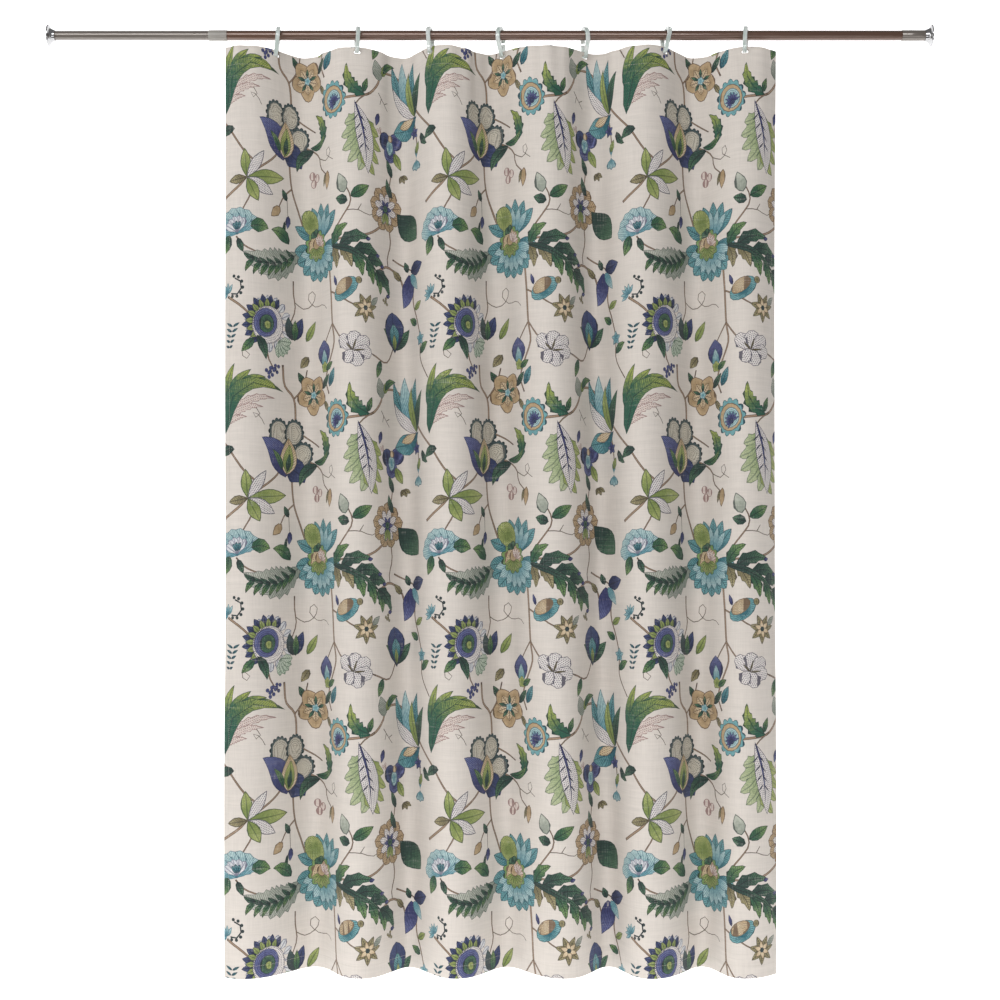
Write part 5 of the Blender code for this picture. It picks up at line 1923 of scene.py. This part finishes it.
@dataclass
class SnapRings:
    """The seven pear-shaped rings between the rod and the buttonholes."""

    drape: Drape
    edge: float = 0.0011
    latch: float = 1.25
    latch_above: float = 0.0045
    latch_below: float = 0.004

    def blank(self) -> bpy.types.Object:
        """One ring in its own place on the rod: a section is extruded down the strands and spun round the arcs."""
        ring = self.drape.ring
        slope = ring.slope
        side = Vector((0, math.cos(slope), -math.sin(slope)))
        crown, foot = Vector((0, *ring.crown)), Vector((0, *ring.foot))
        upper, lower = crown + side * ring.crown_radius, foot + side * ring.foot_radius

        def strand(height: float) -> Vector:
            """A place on the inside of the right strand."""
            return lower + (upper - lower) * ((height - lower.z) / (upper.z - lower.z))

        start, end = strand(ring.snap_height + ring.gap / 2), strand(ring.snap_height - ring.gap / 2)
        bow = self.thickness(start.z) * self.latch
        Workshop.plate(start + side * bow / 2, (ring.band, bow), -slope)
        Workshop.edit()
        bpy.ops.mesh.select_all(action="SELECT")
        bpy.ops.mesh.delete(type="ONLY_FACE")
        bpy.ops.mesh.select_all(action="SELECT")

        def go(here: Vector, there: Vector, from_size: float, to_size: float) -> None:
            """Extrude the section along a strand and thin or thicken it about its inside."""
            bpy.ops.mesh.extrude_region_move(TRANSFORM_OT_translate={"value": there - here})
            share = to_size / from_size
            bpy.ops.transform.resize(value=(1, share, share), center_override=there)

        def wind(centre: Vector, angle: float, steps: int) -> None:
            """Spin the section round an arc, from the right side over to the left."""
            bpy.ops.mesh.spin(steps=steps, angle=-angle, center=centre, axis=(1, 0, 0))

        neck = strand(start.z + self.latch_above)
        neck_size = self.thickness(neck.z)
        go(start, neck, bow, neck_size)
        top_size = ring.crown_thickness
        go(neck, upper, neck_size, top_size)
        wind(crown, math.pi + 2 * slope, 24)
        mirror = Vector((1, -1, 1))
        upper_left, lower_left = upper * mirror, lower * mirror
        middle = (upper_left + lower_left) / 2
        middle_size = self.thickness(middle.z)
        go(upper_left, middle, top_size, middle_size)
        go(middle, lower_left, middle_size, ring.foot_thickness)
        wind(foot, math.pi - 2 * slope, 18)
        tail_size = self.thickness(end.z)
        neck = strand(end.z - self.latch_below)
        go(lower, neck, ring.foot_thickness, tail_size)
        go(neck, end, tail_size, tail_size * self.latch)
        bpy.ops.mesh.edge_face_add()
        Workshop.pick(lambda co: (co - start).dot(side) > -1e-5 and abs((co - start).dot(upper - lower)) < 1e-8)
        bpy.ops.mesh.edge_face_add()
        made = Workshop.done()
        Workshop.rounded(made, self.edge, 4)
        return made

    def thickness(self, height: float) -> float:
        """How thick the band is at a height."""
        ring = self.drape.ring
        top = ring.crown.y + ring.crown_radius
        share = float(ease((height + ring.reach) / (top + ring.reach)))
        return ring.foot_thickness + (ring.crown_thickness - ring.foot_thickness) * share

    def build(self) -> list[bpy.types.Object]:
        """Make seven rings, turn each to its buttonhole and dress it."""
        finish = MilkyPlastic().material()
        blank = self.blank()
        drape = self.drape
        pieces = []
        middles = drape.surface(
            np.array(drape.ring_folds), np.full(len(drape.ring_folds), drape.hole_below_edge / drape.drop))
        for number, hang in enumerate(drape.hangs):
            piece = Workshop.added(f"snap_ring_{number + 1}", blank.data.copy())
            raised = hang.turn @ Vector((0, 0, hang.lift))
            spot = Vector((middles[number][0] - hang.foot_centre.x + raised.x, raised.y, raised.z))
            piece.data.transform(Matrix.Translation(spot) @ hang.turn.to_4x4())
            Workshop.dress(piece, finish, "ring_plastic")
            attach(piece, f"ring_{number + 1}")
            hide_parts(f"ring_{number + 1}")
            pieces.append(piece)
        bpy.data.objects.remove(blank)
        return pieces


# ------------------------------------------------------------------------------------------- studio

@dataclass
class Studio:
    """A plain white sweep, soft lights and the camera."""

    camera_place: tuple[float, float, float] = (-0.845, -3.3, -0.909)
    lens: float = 60.7
    sensor: float = 36.0
    middle: tuple[float, float, float] = (-0.85, 0.0, -0.9)
    floor: float = -2.05
    floor_size: tuple[float, float] = (14, 3.2)
    cove_radius: float = 1.0
    wall: float = 2.2
    wall_height: float = 5.0
    paper_glow: float = 0.85
    air_glow: float = 0.22

    def sweep(self) -> bpy.types.Object:
        """A floor that curves up into a wall."""
        made = Workshop.plate((self.middle[0], 0.6, self.floor), self.floor_size)
        made.name = "studio_sweep"
        Workshop.edit()
        Workshop.pick(lambda co: co.y > 1)
        centre = (0, self.wall, self.floor + self.cove_radius)
        bpy.ops.mesh.spin(steps=16, angle=-math.pi / 2, center=centre, axis=(1, 0, 0))
        bpy.ops.mesh.extrude_region_move(TRANSFORM_OT_translate={"value": (0, 0, self.wall_height)})
        bpy.ops.object.mode_set(mode="OBJECT")
        made.data.shade_smooth()
        recipe = Recipe("sweep_paper")
        tone = recipe.noise(0.8, 1.0)
        paper = recipe.finish(
            Base_Color=recipe.shaded((0.93, 0.93, 0.93), 0.99 + tone * 0.02), Roughness=0.9,
            Emission_Color=(1.0, 1.0, 1.0), Emission_Strength=self.paper_glow,
        )
        behind = recipe.node("ShaderNodeNewGeometry", output="Backfacing")
        clear = recipe.node("ShaderNodeBsdfTransparent")
        face = Signal(recipe, recipe.shader.outputs[0])
        shown = recipe.node("ShaderNodeMixShader", None, {0: behind, 1: face, 2: clear})
        output = next(node for node in recipe.tree.nodes if node.type == "OUTPUT_MATERIAL")
        recipe.tree.links.new(shown.socket, output.inputs["Surface"])
        made.data.materials.append(paper)
        return made

    def light(self, name: str, place: tuple[float, ...], size: tuple[float, float], power: float) -> None:
        """A soft light, so wide and so high, aimed at the middle of the curtain."""
        data = bpy.data.lights.new(name, "AREA")
        data.shape, data.energy = "RECTANGLE", power
        data.size, data.size_y = size
        made = Workshop.added(name, data)
        made.location = place
        made.rotation_euler = (Vector(self.middle) - Vector(place)).to_track_quat("-Z", "Y").to_euler()

    def build(self) -> None:
        """Set up the sweep, the lights, the surroundings and the camera."""
        self.sweep()
        self.light("front_bank", (-1.9, -3.6, 1.3), (5.6, 1.3), 128)
        self.light("low_bank", (-0.4, -3.6, -2.0), (5.6, 0.7), 30)
        self.light("left_key", (-4.6, -1.6, -0.3), (1.4, 2.6), 26)
        world = bpy.data.worlds.new("studio_air")
        world.use_nodes = True
        air = world.node_tree.nodes["Background"].inputs
        air["Color"].default_value = (1.0, 1.0, 1.0, 1.0)
        air["Strength"].default_value = self.air_glow
        bpy.context.scene.world = world
        bpy.context.scene.view_settings.view_transform = "Standard"
        camera = bpy.data.cameras.new("camera")
        camera.lens, camera.sensor_width = self.lens, self.sensor
        made = Workshop.added("camera", camera)
        made.location = self.camera_place
        made.rotation_euler = (math.pi / 2, 0, 0)
        bpy.context.scene.camera = made


def main() -> None:
    """Build the classes in order and report each piece."""
    logging.basicConfig(level=logging.INFO, format="%(name)s: %(message)s")
    Studio().build()
    drape = Drape()
    pieces = Rod().build() + SnapRings(drape).build() + Curtain(drape).build()
    for piece in pieces:
        report(piece)


if __name__ == "__main__":
    main()
